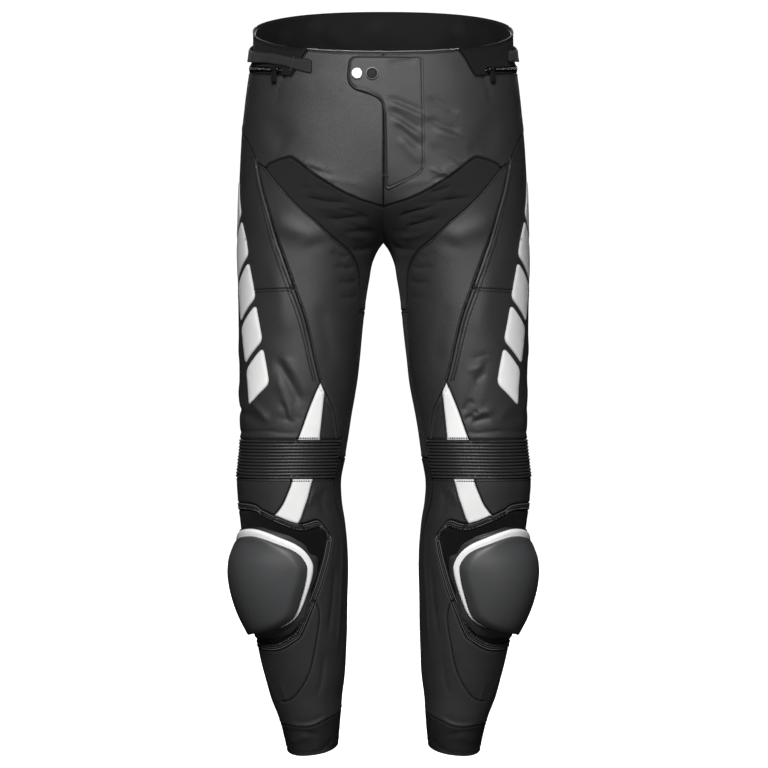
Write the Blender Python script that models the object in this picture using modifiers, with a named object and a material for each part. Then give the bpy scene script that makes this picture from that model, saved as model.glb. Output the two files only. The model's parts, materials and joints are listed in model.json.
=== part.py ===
"""Leather motorcycle trousers, in the hollow form that they take when they are worn.

Every cloth piece is cut from one surface. cloth_point gives that surface for the wearer's left half,
from a table of horizontal sections, and the right half is its mirror image. A place on it has two
coordinates: level, the height of its section, and u, the share of the way round that section, from the
centre front or the inseam (0), past the front and the outer side (about 0.5), to the centre back or the
inseam again (1). The seams are drawn on that surface, a triangulation follows all of them, and each
panel is the wall on its own triangles, so neighbours share their edges and are apart only by the seam.

Sizes are in millimetres until they reach Blender. +Z is up and the wearer looks along -Y. The origin
is the centre of the waist opening.
"""

import math

import bmesh
import bpy
import numpy as np
from mathutils import Matrix, Vector
from mathutils.geometry import delaunay_2d_cdt

MM = 0.001

# --- driving sizes -----------------------------------------------------------------------------
WALL = 2.0  # leather or stretch cloth with its backing
LINING = 1.0
SEAM_GAP = 0.3
LAID_GAP = 0.3  # between a piece and what is sewn or stuck on it
CROTCH_LEVEL = -284.0
HEM_LEVEL = -964.0
OUTSEAM = 0.56  # u of the seam down the outer side, just behind what shows from the front

# The left half's sections. outer and inner are its x limits: above the crotch the inner one lies past
# the middle plane, which cuts the section open. front and back are its y limits, square the exponent of
# its superellipse, turn how far the inseam sits round towards the front in degrees, and tilt and cant
# how much a point rises per millimetre behind and outside the section's middle.
SECTION_COLUMNS = ("level", "outer", "inner", "front", "back", "square", "turn", "tilt", "cant")
SECTIONS = np.array((
    (0, 174, -174, -115, 115, 2.3, 0, 0.36, 0),
    (-30, 175, -175, -117, 118, 2.3, 0, 0.29, 0),
    (-65, 181, -181, -119, 123, 2.3, 0, 0.17, 0),
    (-105, 186, -184, -120, 131, 2.3, 0, 0.07, 0),
    (-146, 190, -172, -120, 138, 2.3, 0, 0, 0),
    (-200, 193, -118, -117, 141, 2.3, 0, 0, 0),
    (-240, 194, -56, -113, 137, 2.3, 0, 0, 0),
    (-265, 194.6, -20, -110, 131, 2.25, 0, 0, 0),
    (-278, 195, -6, -109, 126, 2.2, 0, 0, 0),
    (-284, 195, 0, -108, 124, 2.2, 0, 0, 0),
    (-307, 195.6, 12.7, -107, 118, 2.2, 0, 0, 0),
    (-334, 195.6, 18.1, -106, 112, 2.15, 2, 0, 0),
    (-414, 193.6, 28.8, -104, 93, 2.15, 10, 0, 0),
    (-468, 191.6, 34.8, -101, 82, 2.15, 17, 0, 0),
    (-521, 191.8, 43.6, -97, 74, 2.15, 26, 0, 0),
    (-548, 191, 47.6, -95, 71, 2.15, 30, 0, 0),
    (-575, 193.6, 51.6, -92.5, 69, 2.15, 30, 0, 0),
    (-602, 196.2, 56.3, -89, 70, 2.15, 30, 0, 0),
    (-628, 195, 55.6, -84, 74, 2.15, 28, 0, 0),
    (-655, 192.3, 51.6, -78, 79, 2.15, 22, 0, 0),
    (-709, 187, 47.6, -65, 89, 2.15, 13, 0, 0),
    (-762, 180, 48.2, -51, 95, 2.15, 10, 0, 0),
    (-816, 170, 49, -35, 97, 2.15, 10, 0, 0),
    (-870, 157, 51.6, -17, 96, 2.15, 10, 0.05, -0.02),
    (-896, 149.4, 55, -8, 94.5, 2.15, 10, 0.1, -0.05),
    (-923, 138.7, 57, 0, 92, 2.2, 10, 0.15, -0.09),
    (-950, 132, 59.6, 6, 90, 2.2, 10, 0.2, -0.12),
    (-970, 129, 62, 9, 89, 2.2, 10, 0.2, -0.12),
))
RING_STEPS = 240  # how finely a section's outline is measured


def hermite(xs, ys, x):
    """The smooth curve through the rows of a table, at x."""
    slopes = np.gradient(ys, xs)
    i = int(np.clip(np.searchsorted(xs, x) - 1, 0, len(xs) - 2))
    step = xs[i + 1] - xs[i]
    t = (x - xs[i]) / step
    a, b = ys[i], ys[i + 1]
    da, db = slopes[i] * step, slopes[i + 1] * step
    return (
        (2 * t**3 - 3 * t**2 + 1) * a
        + (t**3 - 2 * t**2 + t) * da
        + (3 * t**2 - 2 * t**3) * b
        + (t**3 - t**2) * db
    )


def section(level):
    """The sizes of the section at that level, by column name."""
    rising = SECTIONS[::-1]
    return {
        name: hermite(rising[:, 0], rising[:, k], level)
        for k, name in enumerate(SECTION_COLUMNS)
        if name != "level"
    }


ring_cache = {}


def ring(level):
    """(u, points): the section's outline from its inner front end round to its inner back end."""
    key = round(float(level), 4)
    if key in ring_cache:
        return ring_cache[key]
    s = section(level)
    mid_x, half_x = (s["outer"] + s["inner"]) / 2, (s["outer"] - s["inner"]) / 2
    mid_y, half_y = (s["front"] + s["back"]) / 2, (s["back"] - s["front"]) / 2
    power = 2 / s["square"]
    if level > CROTCH_LEVEL:  # cut open by the middle plane
        opened = math.acos(min(1.0, max(0.0, mid_x / half_x)) ** (1 / power))
        angles = np.linspace(math.pi + opened, 3 * math.pi - opened, RING_STEPS + 1)
    else:
        turn = math.radians(s["turn"])
        angles = np.linspace(math.pi + turn, 3 * math.pi + turn, RING_STEPS + 1)
    c, n = np.cos(angles), np.sin(angles)
    x = mid_x + half_x * np.sign(c) * np.abs(c) ** power
    y = mid_y + half_y * np.sign(n) * np.abs(n) ** power
    if level > CROTCH_LEVEL:
        x[0] = x[-1] = 0.0
    z = level + s["tilt"] * (y - mid_y) + s["cant"] * (x - mid_x)
    points = np.stack([x, y, z], axis=1)
    along = np.concatenate([[0], np.cumsum(np.linalg.norm(np.diff(points, axis=0), axis=1))])
    ring_cache[key] = (along / along[-1], points)
    return ring_cache[key]


def cloth_point(u, level):
    shares, points = ring(level)
    return np.array([np.interp(u, shares, points[:, k]) for k in range(3)])


def place_front(x, z):
    """(u, level) of the point of the front that is seen at x and z from straight ahead."""
    level, u = z, 0.25
    for _ in range(14):
        shares, points = ring(level)
        facing = shares <= 0.5
        u = float(np.interp(x, points[facing, 0], shares[facing]))
        level += z - cloth_point(u, level)[2]
    return u, level


# --- seams -------------------------------------------------------------------------------------
def seen(x, z):
    """A place on the front, by what is seen from straight ahead."""
    return place_front(x, z)


def about(u, level):
    """A place by its share of the way round, where the front view doesn't reach."""
    return u, level


KNEE_TOP, KNEE_LOW = -546.0, -597.5  # the accordion panel
KNEE_BACK = -571.0
INNER_BACK = 0.86  # u of the seam behind the inner leg
GUSSET_LOW = -375.0

# Every seam of the left half, as the few places that its curve goes through.
SEAMS = {
    "centre_front": (about(0, 0), about(0, -242)),
    "centre_back": (about(1, -75), about(1, -236)),
    "inseam": (about(0, -452), about(0, HEM_LEVEL)),
    "outseam": (about(OUTSEAM, 0), about(OUTSEAM, -924)),
    "apron_side": (about(0.209, 0), seen(109.8, -51.8), seen(121, -71)),
    "waist_low": (
        seen(121, -71), seen(151, -66), about(0.5, -56), about(OUTSEAM, -54),
        about(0.75, -62), about(1, -75),
    ),
    "apron_low": (
        about(0, -242), seen(29, -234), seen(51, -224.6), seen(71.7, -212.9), seen(92.6, -199),
        seen(116.2, -180.2), seen(125.5, -178), seen(146.9, -184.6), seen(154.2, -190.7),
    ),
    "hip": (
        about(OUTSEAM, -98), about(0.5, -121.2), seen(179.5, -150.1), seen(166, -179.8),
        seen(154.2, -190.7), seen(132.4, -218.5), seen(110.1, -242.7), seen(87.9, -261.3),
        seen(61.6, -285.1), seen(46.9, -296.3), seen(36.7, -310.3), seen(31.6, -330.7),
        seen(31.5, -375.1), seen(33.5, -401.6), seen(34.8, -428), about(0, -452),
    ),
    "diagonal": (
        seen(166, -179.8), seen(158.9, -214.9), seen(150.6, -245.7), seen(139.8, -285.4),
        seen(118.1, -349.4), seen(102.8, -394.9), seen(83.9, -465.2), seen(73.6, -487.9),
        seen(65.9, -505.8), about(0.015, KNEE_TOP),
    ),
    "cross": (seen(118.1, -349.4), seen(164, -350.6), about(OUTSEAM, -352)),
    "stripe_thigh_inner": (
        seen(78.5, -477), seen(77.6, -489.7), seen(80.1, -514.8), seen(83, KNEE_TOP),
    ),
    "stripe_thigh_outer": (
        seen(82, -470.5), seen(91.8, -493.9), seen(103.8, -525.8), seen(111, KNEE_TOP),
    ),
    "ribs_top": (about(0, KNEE_TOP), about(OUTSEAM, KNEE_TOP)),
    "ribs_low": (about(0, KNEE_LOW), about(OUTSEAM, KNEE_LOW)),
    "stripe_shin_inner": (
        seen(91.7, KNEE_LOW), seen(98.9, -622.4), seen(107.1, -646.4), seen(112, -656.1),
    ),
    "stripe_shin_outer": (
        seen(118.8, KNEE_LOW), seen(121.5, -608.7), seen(130.9, -630.1), seen(141.8, -645.5),
    ),
    "patch_top": (
        about(OUTSEAM, -634), seen(179.1, -629.9), seen(158.6, -638.1), seen(141.8, -645.5),
        seen(111.9, -656.1), seen(89.3, -651.1), seen(81.9, -655.2), seen(67.9, -675.7),
    ),
    "patch_side": (
        seen(67.9, -675.7), seen(76.2, -718.1), seen(85.4, -748.6), seen(96.1, -776.3),
        seen(106.6, -801.7), seen(116.2, -814), seen(145.3, -828.8), about(0.5, -826),
        about(OUTSEAM, -824),
    ),
    "tongue": (
        seen(88.7, -757.3), seen(84, -785), seen(92.7, -838.8), seen(102.5, -868.1),
        seen(117.1, -890.5), seen(129.3, -898), seen(141.6, -895.1), seen(156.3, -859.6),
        seen(163.5, -829),
    ),
    "cuff_seam": (
        about(0, -915), seen(74.2, -923.5), seen(92.9, -931.9), seen(109, -934), seen(129.6, -931.9),
        about(0.5, -926.3), about(0.75, -918), about(1, -915),
    ),
    "inner_back": (
        about(1, -236), about(0.93, -285), about(INNER_BACK, GUSSET_LOW), about(INNER_BACK, -600),
        about(INNER_BACK, -760), about(INNER_BACK, -916.5),
    ),
    "gusset_low_front": (about(0, GUSSET_LOW), seen(31.5, -375.1)),
    "gusset_low_back": (about(1, GUSSET_LOW), about(INNER_BACK, GUSSET_LOW)),
    "knee_back": (about(OUTSEAM, KNEE_BACK), about(1, KNEE_BACK)),
}
BINDING_WIDTH = 10.8  # of the knee patch's stitched edge

# The panels: a place inside each one, and its colour. Those that cross the middle are one piece.
PANELS = (
    # name, u, level, crosses the middle, material
    ("front", 0.2, -120, False, "leather"),
    ("side_waist", 0.45, -30, False, "stretch"),
    ("waist_back", 0.8, -30, True, "stretch"),
    ("gusset", 0.03, -262, True, "stretch"),
    ("back", 0.7, -200, False, "leather"),
    ("inner_leg", 0.93, -480, False, "stretch"),
    ("thigh_front", 0.16, -350, False, "leather"),
    ("thigh_upper", 0.4, -250, False, "leather"),
    ("thigh_lower", 0.4, -450, False, "leather"),
    ("stripe_thigh", 0.115, -530, False, "white"),
    ("knee_wedge", 0.06, -530, False, "leather"),
    ("knee_ribs", 0.3, -571, False, "leather"),
    ("shin_top", 0.4, -615, False, "leather"),
    ("stripe_shin", 0.135, -620, False, "white"),
    ("shin_front", 0.05, -620, False, "leather"),
    ("knee_patch", 0.35, -740, False, "pile"),
    ("patch_binding", 0.109, -697, False, "stretch"),
    ("shin_tongue", 0.25, -860, False, "leather"),
    ("cuff", 0.3, -950, False, "leather"),
    ("calf", 0.7, -750, False, "stretch"),
    ("shin_inner", 0.93, -750, False, "leather"),
)

# Outlines of what is laid on the panels. On the right strap the front end reaches the apron.
SHIELD = (  # x, z; its free edge is the right one, seen as the left
    (-38, -47), (-45, -52), (-47.5, -74), (-45, -84.3), (-37.5, -91.8), (-20.2, -96.9),
    (-8, -102), (2, -110), (6, -124), (5, -170), (5, -222.6), (24, -213), (41.9, -204.6),
    (50, -199), (54, -190), (53.5, -120), (52, -46),
)
STRAP_RIGHT = (
    seen(92.8, -50), seen(112.6, -47.7), seen(142.1, -38.8), about(0.5, -25.4), about(0.7, -22),
    about(0.7, -38), about(0.5, -42.8), seen(151.6, -50.9), seen(128.5, -57.2), seen(92.7, -69.8),
)
STRAP_LEFT = (
    seen(162, -33), about(0.5, -25.4), about(0.7, -22), about(0.7, -38), about(0.5, -42.8),
    seen(162, -48),
)
ZIP_LINE = (seen(133, -63), seen(151, -59.5), about(0.5, -49.5), about(0.6, -47.5))
ZIP_WIDTH = 8.0
LINING_OUTLINE = (about(0.4, -3), about(1, -3), about(1, -66), about(0.4, -46))
PUCK = (
    seen(164, -672), seen(130, -684), seen(112, -694), seen(103, -707), seen(102, -718),
    seen(106, -742), seen(114, -771), seen(124, -785), seen(142, -795), seen(160, -801),
    about(0.42, -806), about(0.455, -790), about(0.47, -740), about(0.46, -700), about(0.42, -682),
    about(0.36, -674),
)
BASE_PLATE = (
    seen(159.6, -661.1), seen(122.5, -672.5), seen(102.9, -684), seen(97, -697), seen(87, -699.5),
    seen(88, -725), seen(96, -744.9), seen(96.9, -758.4), seen(102.3, -785.4), seen(110.3, -790),
    seen(123.7, -804.5), seen(144, -810.8), seen(162.1, -811), about(0.43, -817), about(0.5, -800),
    about(0.52, -740), about(0.5, -690), about(0.43, -668),
)
BAND_WIDTH = 5.0
PUCK_RINGS = (8.0, 22.0)  # how far inside its outline the dome has more points

# The largest folds, soft ridges from one place to another. Their heights differ between the legs.
FOLDS = (
    # from, to, height on the left, on the right, half width
    (seen(160, -425), seen(112, -512), 3.0, 3.5, 14),
    (about(0.45, -470), about(0.24, -530), 3.5, 3.0, 14),
    (about(0.52, -390), about(0.36, -440), 2.5, 3.0, 16),
    (seen(60, -120), seen(130, -150), 2.5, 2.0, 16),
    (seen(66, -150), seen(120, -128), 2.0, 2.5, 14),
    (seen(20, -262), seen(75, -235), 1.5, 1.5, 9),
    (about(0.82, -250), about(0.62, -300), 4.0, 3.5, 20),
    (about(0.8, -480), about(0.6, -520), 4.0, 5.0, 16),
    (about(0.82, -535), about(0.6, -548), 5.0, 4.0, 12),
    (about(0.84, -590), about(0.6, -600), 4.0, 4.5, 12),
    (about(0.82, -830), about(0.6, -812), 3.5, 3.0, 16),
    (seen(84, -875), seen(64, -850), 2.0, 2.0, 10),
)

RIBS = 12
RIB_HEIGHT = 2.2

# --- the flat pattern --------------------------------------------------------------------------
FLAT_WIDTH = 500.0  # u of 1 on it; the right half has negative distances
SEAM_STEP, LOOP_STEP, GRID_STEP, EDGE_STEP = 26.0, 17.0, 30.0, 28.0
JOIN_REACH = 14.0  # a seam that ends this near another one ends on it
SAME_PLACE = 3.0
CLEAR_OF_LINES = 0.42  # of a grid step


def on_flat(places):
    return np.array([(u * FLAT_WIDTH, level) for u, level in places])


def smooth_curve(points, closed=False, parts=8):
    """Points on a Catmull-Rom curve through the given ones."""
    n = len(points)
    result = []
    for i in range(n if closed else n - 1):
        if closed:
            p0, p1, p2, p3 = (points[(i + k) % n] for k in (-1, 0, 1, 2))
        else:
            p0, p1, p2, p3 = (points[min(max(i + k, 0), n - 1)] for k in (-1, 0, 1, 2))
        for t in np.arange(parts) / parts:
            result.append(
                0.5 * (2 * p1 + (p2 - p0) * t + (2 * p0 - 5 * p1 + 4 * p2 - p3) * t**2
                       + (3 * p1 - p0 - 3 * p2 + p3) * t**3)
            )
    if not closed:
        result.append(points[-1])
    return np.array(result)


def resample(points, step, closed=False):
    """The same line with even steps."""
    if closed:
        points = np.vstack([points, points[:1]])
    along = np.concatenate([[0], np.cumsum(np.linalg.norm(np.diff(points, axis=0), axis=1))])
    count = max(1, round(along[-1] / step))
    at = np.linspace(0, along[-1], count + 1)
    result = np.stack([np.interp(at, along, points[:, k]) for k in (0, 1)], axis=1)
    return result[:-1] if closed else result


def split_long(points, step, closed=False):
    """A line with corners, with more points on its long sides."""
    ends = np.roll(points, -1, axis=0) if closed else points[1:]
    result = []
    for a, b in zip(points, ends):
        count = max(1, math.ceil(np.linalg.norm(b - a) / step - 0.3))
        result += [a + (b - a) * k / count for k in range(count)]
    if not closed:
        result.append(points[-1])
    return np.array(result)


def beside(points, distance, closed=False):
    """The line moved to its left by that distance."""
    before = np.roll(points, 1, axis=0) if closed else np.vstack([points[:1], points[:-1]])
    after = np.roll(points, -1, axis=0) if closed else np.vstack([points[1:], points[-1:]])
    along = after - before
    along /= np.linalg.norm(along, axis=1)[:, None]
    return points + distance * np.stack([-along[:, 1], along[:, 0]], axis=1)


def nearest_on(points, place):
    """(distance, index of the segment, nearest point) from a place to a line."""
    a, b = points[:-1], points[1:]
    span = b - a
    t = np.clip(((place - a) * span).sum(axis=1) / (span**2).sum(axis=1), 0, 1)
    near = a + t[:, None] * span
    gaps = np.linalg.norm(near - place, axis=1)
    i = int(gaps.argmin())
    return gaps[i], i, near[i]


def at_border(place):
    return place[0] < 0.01 or place[0] > FLAT_WIDTH - 0.01 or place[1] > -0.01


def join_seams(lines):
    """End each seam exactly on the seam that it runs into, with a point there on both."""
    for name in lines:
        for end in (0, -1):
            place = lines[name][end]
            if at_border(place) or place[1] < HEM_LEVEL + 0.01:
                continue
            others = [
                (*nearest_on(points, place), other) for other, points in lines.items() if other != name
            ]
            gap, i, near, other = min(others, key=lambda row: row[0])
            if gap > JOIN_REACH:
                raise ValueError(f"{name} ends {gap:.1f} mm from the next seam")
            points = lines[other]
            known = points[np.linalg.norm(points - near, axis=1).argmin()]
            if np.linalg.norm(known - near) < SAME_PLACE:
                near = known
            else:
                lines[other] = np.insert(points, i + 1, near, axis=0)
            lines[name][end] = near
    return lines


def seam_lines():
    """The left half's seams on the flat pattern."""
    lines = {}
    for name, places in SEAMS.items():
        points = on_flat(places)
        curved = smooth_curve(points) if len(points) > 2 else points
        lines[name] = resample(curved, SEAM_STEP)
    edge = np.vstack([on_flat(SEAMS["patch_top"]), on_flat(SEAMS["patch_side"])[1:]])
    lines["binding"] = resample(smooth_curve(beside(edge, BINDING_WIDTH)), SEAM_STEP * 0.8)
    lines["binding"][[0, -1], 0] = OUTSEAM * FLAT_WIDTH
    return join_seams(lines)


def rib_rows():
    """Rows of points on the ribs' crests and troughs, from the inseam to the outseam."""
    count = round(OUTSEAM * FLAT_WIDTH / SEAM_STEP)
    across = np.linspace(0, OUTSEAM * FLAT_WIDTH, count + 1)
    levels = np.linspace(KNEE_TOP, KNEE_LOW, 2 * RIBS + 1)[1:-1]
    return {f"rib_{k}": np.stack([across, np.full_like(across, level)], axis=1)
            for k, level in enumerate(levels)}


def shield_outline():
    """The fly shield's outline on the flat pattern, where its right part is negative."""
    points = []
    for x, z in SHIELD:
        u, level = place_front(abs(x), z)
        points.append((math.copysign(u, x) * FLAT_WIDTH, min(level, -3.0)))
    return split_long(np.array(points), LOOP_STEP * 1.3, closed=True)


def zip_outline():
    centre = resample(smooth_curve(on_flat(ZIP_LINE)), LOOP_STEP)
    return np.vstack([beside(centre, ZIP_WIDTH / 2), beside(centre, -ZIP_WIDTH / 2)[::-1]])


def laid_outlines(side):
    """Closed outlines of what is laid on that half."""
    puck = resample(smooth_curve(on_flat(PUCK), closed=True), LOOP_STEP, closed=True)
    outlines = {
        "strap": split_long(on_flat(STRAP_LEFT if side > 0 else STRAP_RIGHT), SEAM_STEP, closed=True),
        "hip_zip": zip_outline(),
        "slider_base": split_long(on_flat(BASE_PLATE), SEAM_STEP, closed=True),
        "slider_band": beside(puck, -BAND_WIDTH, closed=True),
        "slider_puck": puck,
    }
    for k, inset in enumerate(PUCK_RINGS):
        ring_points = beside(puck, inset, closed=True)
        outlines[f"puck_ring_{k}"] = resample(ring_points, LOOP_STEP, closed=True)
    return outlines


def fold_lines():
    """Each fold's crest and feet, so that the triangles follow it."""
    lines = {}
    for k, (start, end, _, _, half_width) in enumerate(FOLDS):
        crest = resample(on_flat((start, end)), SEAM_STEP)
        lines[f"fold_{k}"] = crest
        for name, distance in (("upper", half_width), ("lower", -half_width)):
            lines[f"fold_{k}_{name}"] = beside(crest, distance)[:: 2 if len(crest) > 3 else 1]
    return lines


def fold_height(place, side):
    """How far the folds lift the cloth at a place on the left half's flat pattern."""
    height = 0.0
    for start, end, left, right, half_width in FOLDS:
        a, b = on_flat((start, end))
        span = b - a
        t = float(np.clip(np.dot(place - a, span) / np.dot(span, span), 0, 1))
        gap = np.linalg.norm(place - a - t * span) / half_width
        fade = min(1.0, 4 * t, 4 * (1 - t)) if 0 < t < 1 else 0.0
        height += (left if side > 0 else right) * math.exp(-1.6 * gap**2) * fade
    return height


SNAPS = (  # name, x, z, diameter, material
    ("snap_bright", -34.1, -71.0, 14.0, "bright_metal"),
    ("snap_dark", -14.5, -71.2, 15.0, "dark_metal"),
)
SLIDER_PLACE = seen(139, -62)


def add_borders(lines):
    """The waist edge, the hem edge and the two upright borders, with a point for all that meets them."""
    met = np.vstack([points for points in lines.values()])
    inner = np.abs(met[:, 0]) % FLAT_WIDTH
    beside_border = (inner < 0.01) | (inner > FLAT_WIDTH - 0.01)
    steps = round(-HEM_LEVEL / EDGE_STEP)
    levels = list(np.linspace(0, HEM_LEVEL, steps + 1)) + [CROTCH_LEVEL]
    fixed = list(met[beside_border, 1]) + [0, HEM_LEVEL, CROTCH_LEVEL]
    levels = thin_out(levels, fixed)
    for name, level in (("waist_edge", 0.0), ("hem_edge", HEM_LEVEL)):
        on_edge = met[np.abs(met[:, 1] - level) < 0.01, 0]
        spread = np.linspace(-FLAT_WIDTH, FLAT_WIDTH, 2 * round(FLAT_WIDTH / EDGE_STEP) + 1)
        at = thin_out(spread, list(on_edge) + [-FLAT_WIDTH, 0, FLAT_WIDTH])
        lines[name] = np.array([(x, level) for x in at])
    for name, x in (("border_right", -FLAT_WIDTH), ("border_middle", 0.0), ("border_left", FLAT_WIDTH)):
        lines[name] = np.array([(x, level) for level in levels])
    return lines


def thin_out(values, fixed):
    """The fixed values, and those of the others that aren't close to one, in order."""
    fixed = sorted({round(float(v), 3) for v in fixed})
    free = [v for v in values if min(abs(v - f) for f in fixed) > 0.5 * EDGE_STEP]
    return sorted(fixed + free)


def all_lines():
    """Every line of the flat pattern, by name, and the places of the small hard pieces."""
    seams = seam_lines()
    lines = {}
    for side in (1, -1):
        mine = dict(seams)
        mine.update(rib_rows())
        mine.update(laid_outlines(side))
        mine.update(fold_lines())
        mine["lining"] = split_long(on_flat(LINING_OUTLINE)[[1, 0, 3, 2]], SEAM_STEP)
        for name, points in mine.items():
            key = name + ("_left" if side > 0 else "_right")
            points = points * np.array([side, 1])
            if name in CLOSED:
                points = np.vstack([points, points[:1]])
            lines[key] = points
    shield = shield_outline()
    lines["shield"] = np.vstack([shield, shield[:1]])
    return add_borders(lines)


CLOSED = ("strap", "hip_zip", "slider_base", "slider_band", "slider_puck", "puck_ring_0", "puck_ring_1")


def studs():
    """Places where a hard piece sits on the cloth, so that a point of the pattern is under it."""
    places = [(SLIDER_PLACE[0] * FLAT_WIDTH * side, SLIDER_PLACE[1]) for side in (1, -1)]
    for _, x, z, _, _ in SNAPS:
        u, level = place_front(abs(x), z)
        places.append((math.copysign(u, x) * FLAT_WIDTH, level))
    return np.array(places)


def grid_points(lines, kept):
    """Staggered points between the lines."""
    rows = np.arange(HEM_LEVEL + GRID_STEP / 2, 0, GRID_STEP * 0.9)
    points = []
    for k, level in enumerate(rows):
        start = -FLAT_WIDTH + GRID_STEP * (0.5 + 0.5 * (k % 2))
        points += [(x, level) for x in np.arange(start, FLAT_WIDTH, GRID_STEP)]
    points = np.array(points)
    gaps = np.full(len(points), 1e9)
    for line in lines.values():
        for a, b in zip(line[:-1], line[1:]):
            span = b - a
            t = np.clip(((points - a) @ span) / max(span @ span, 1e-9), 0, 1)
            gaps = np.minimum(gaps, np.linalg.norm(points - a - t[:, None] * span, axis=1))
    for place in kept:
        gaps = np.minimum(gaps, np.linalg.norm(points - place, axis=1))
    return points[gaps > CLEAR_OF_LINES * GRID_STEP]


class Pattern:
    """The triangulated cloth: welded points, triangles, and the names of the lines on each edge."""

    def __init__(self):
        lines = all_lines()
        kept = studs()
        vertices, edges, names = [], [], []
        for name, points in lines.items():
            first = len(vertices)
            vertices += [Vector(p) for p in points]
            edges += [(first + k, first + k + 1) for k in range(len(points) - 1)]
            names += [name] * (len(points) - 1)
        vertices += [Vector(p) for p in np.vstack([kept, grid_points(lines, kept)])]
        flat, flat_edges, faces, _, sources, _ = delaunay_2d_cdt(vertices, edges, [], 0, 0.02)
        line_names = {
            tuple(sorted(edge)): {names[k] for k in source if k < len(names)}
            for edge, source in zip(flat_edges, sources)
        }
        self.weld(flat, faces, line_names)
        self.measure()

    def weld(self, flat, faces, line_names):
        """Fold the flat pattern round the body, joining its borders where the cloth is whole."""
        known, self.flat, self.points, self.triangles = {}, [], [], []
        self.edge_names, self.edge_triangles = {}, {}
        for face in faces:
            corners = [np.array(flat[k]) for k in face]
            (ax, ay), (bx, by), (cx, cy) = corners
            area = (bx - ax) * (cy - ay) - (cx - ax) * (by - ay)
            if abs(area) < 1e-3:
                continue
            face = list(face) if area > 0 else list(face)[::-1]
            side = 1 if ax + bx + cx > 0 else -1
            welded = [self.welded(np.array(flat[k]), side, known) for k in face]
            if len(set(welded)) < 3:
                continue
            index = len(self.triangles)
            self.triangles.append(welded)
            for k in range(3):
                key = tuple(sorted((welded[k], welded[(k + 1) % 3])))
                source = tuple(sorted((face[k], face[(k + 1) % 3])))
                self.edge_names.setdefault(key, set()).update(line_names.get(source, ()))
                self.edge_triangles.setdefault(key, []).append(index)

    def welded(self, place, side, known):
        u, level = min(1.0, abs(place[0]) / FLAT_WIDTH), min(0.0, place[1])
        if u < 1e-5:
            u = 0.0
        elif u > 1 - 1e-5:
            u = 1.0
        if level <= CROTCH_LEVEL + 1e-4:
            level = min(level, CROTCH_LEVEL)
            u = 0.0 if u == 1.0 else u
        half = 0 if level >= CROTCH_LEVEL and u in (0.0, 1.0) else side
        key = (half, round(u * 1e5), round(level * 1e3))
        if key not in known:
            known[key] = len(self.points)
            point = cloth_point(u, level) * np.array([side, 1, 1])
            self.points.append(point)
            self.flat.append(np.array([u * FLAT_WIDTH * (side if half else 1), level]))
        return known[key]

    def measure(self):
        """The points' outward directions, and the folds' lift added to the points."""
        self.points = np.array(self.points)
        self.flat = np.array(self.flat)
        self.normals = self.outward()
        lifts = [fold_height(np.abs(place) * (1, -1), place[0]) for place in self.flat]
        self.points = self.points + self.normals * np.array(lifts)[:, None]

    def outward(self):
        a, b, c = (self.points[[t[k] for t in self.triangles]] for k in range(3))
        across = np.cross(b - a, c - a)
        normals = np.zeros_like(self.points)
        for triangle, direction in zip(self.triangles, across):
            normals[triangle] += direction
        return normals / np.linalg.norm(normals, axis=1)[:, None]

    def triangle_at(self, u, level, side):
        """The triangle that a place on that half lies in."""
        place = np.array([side * u * FLAT_WIDTH, level])
        corners = self.flat[np.array(self.triangles)]
        # the borders' points are drawn on one half only, which makes some triangles too wide
        held = np.ptp(corners[:, :, 0], axis=1) < FLAT_WIDTH / 4
        for k in range(3):
            a, b = corners[:, k], corners[:, (k + 1) % 3]
            turn = (b[:, 0] - a[:, 0]) * (place[1] - a[:, 1]) - (b[:, 1] - a[:, 1]) * (place[0] - a[:, 0])
            held &= turn >= 0
        return int(np.flatnonzero(held)[0])

    def region(self, seed, stops):
        """The triangles reached from one without crossing a line that stops."""
        found, waiting = {seed}, [seed]
        while waiting:
            triangle = self.triangles[waiting.pop()]
            for k in range(3):
                key = tuple(sorted((triangle[k], triangle[(k + 1) % 3])))
                if self.edge_names[key] & stops:
                    continue
                for other in self.edge_triangles[key]:
                    if other not in found:
                        found.add(other)
                        waiting.append(other)
        return sorted(found)

    def vertex_at(self, place):
        return int(np.linalg.norm(self.flat - place, axis=1).argmin())


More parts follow.
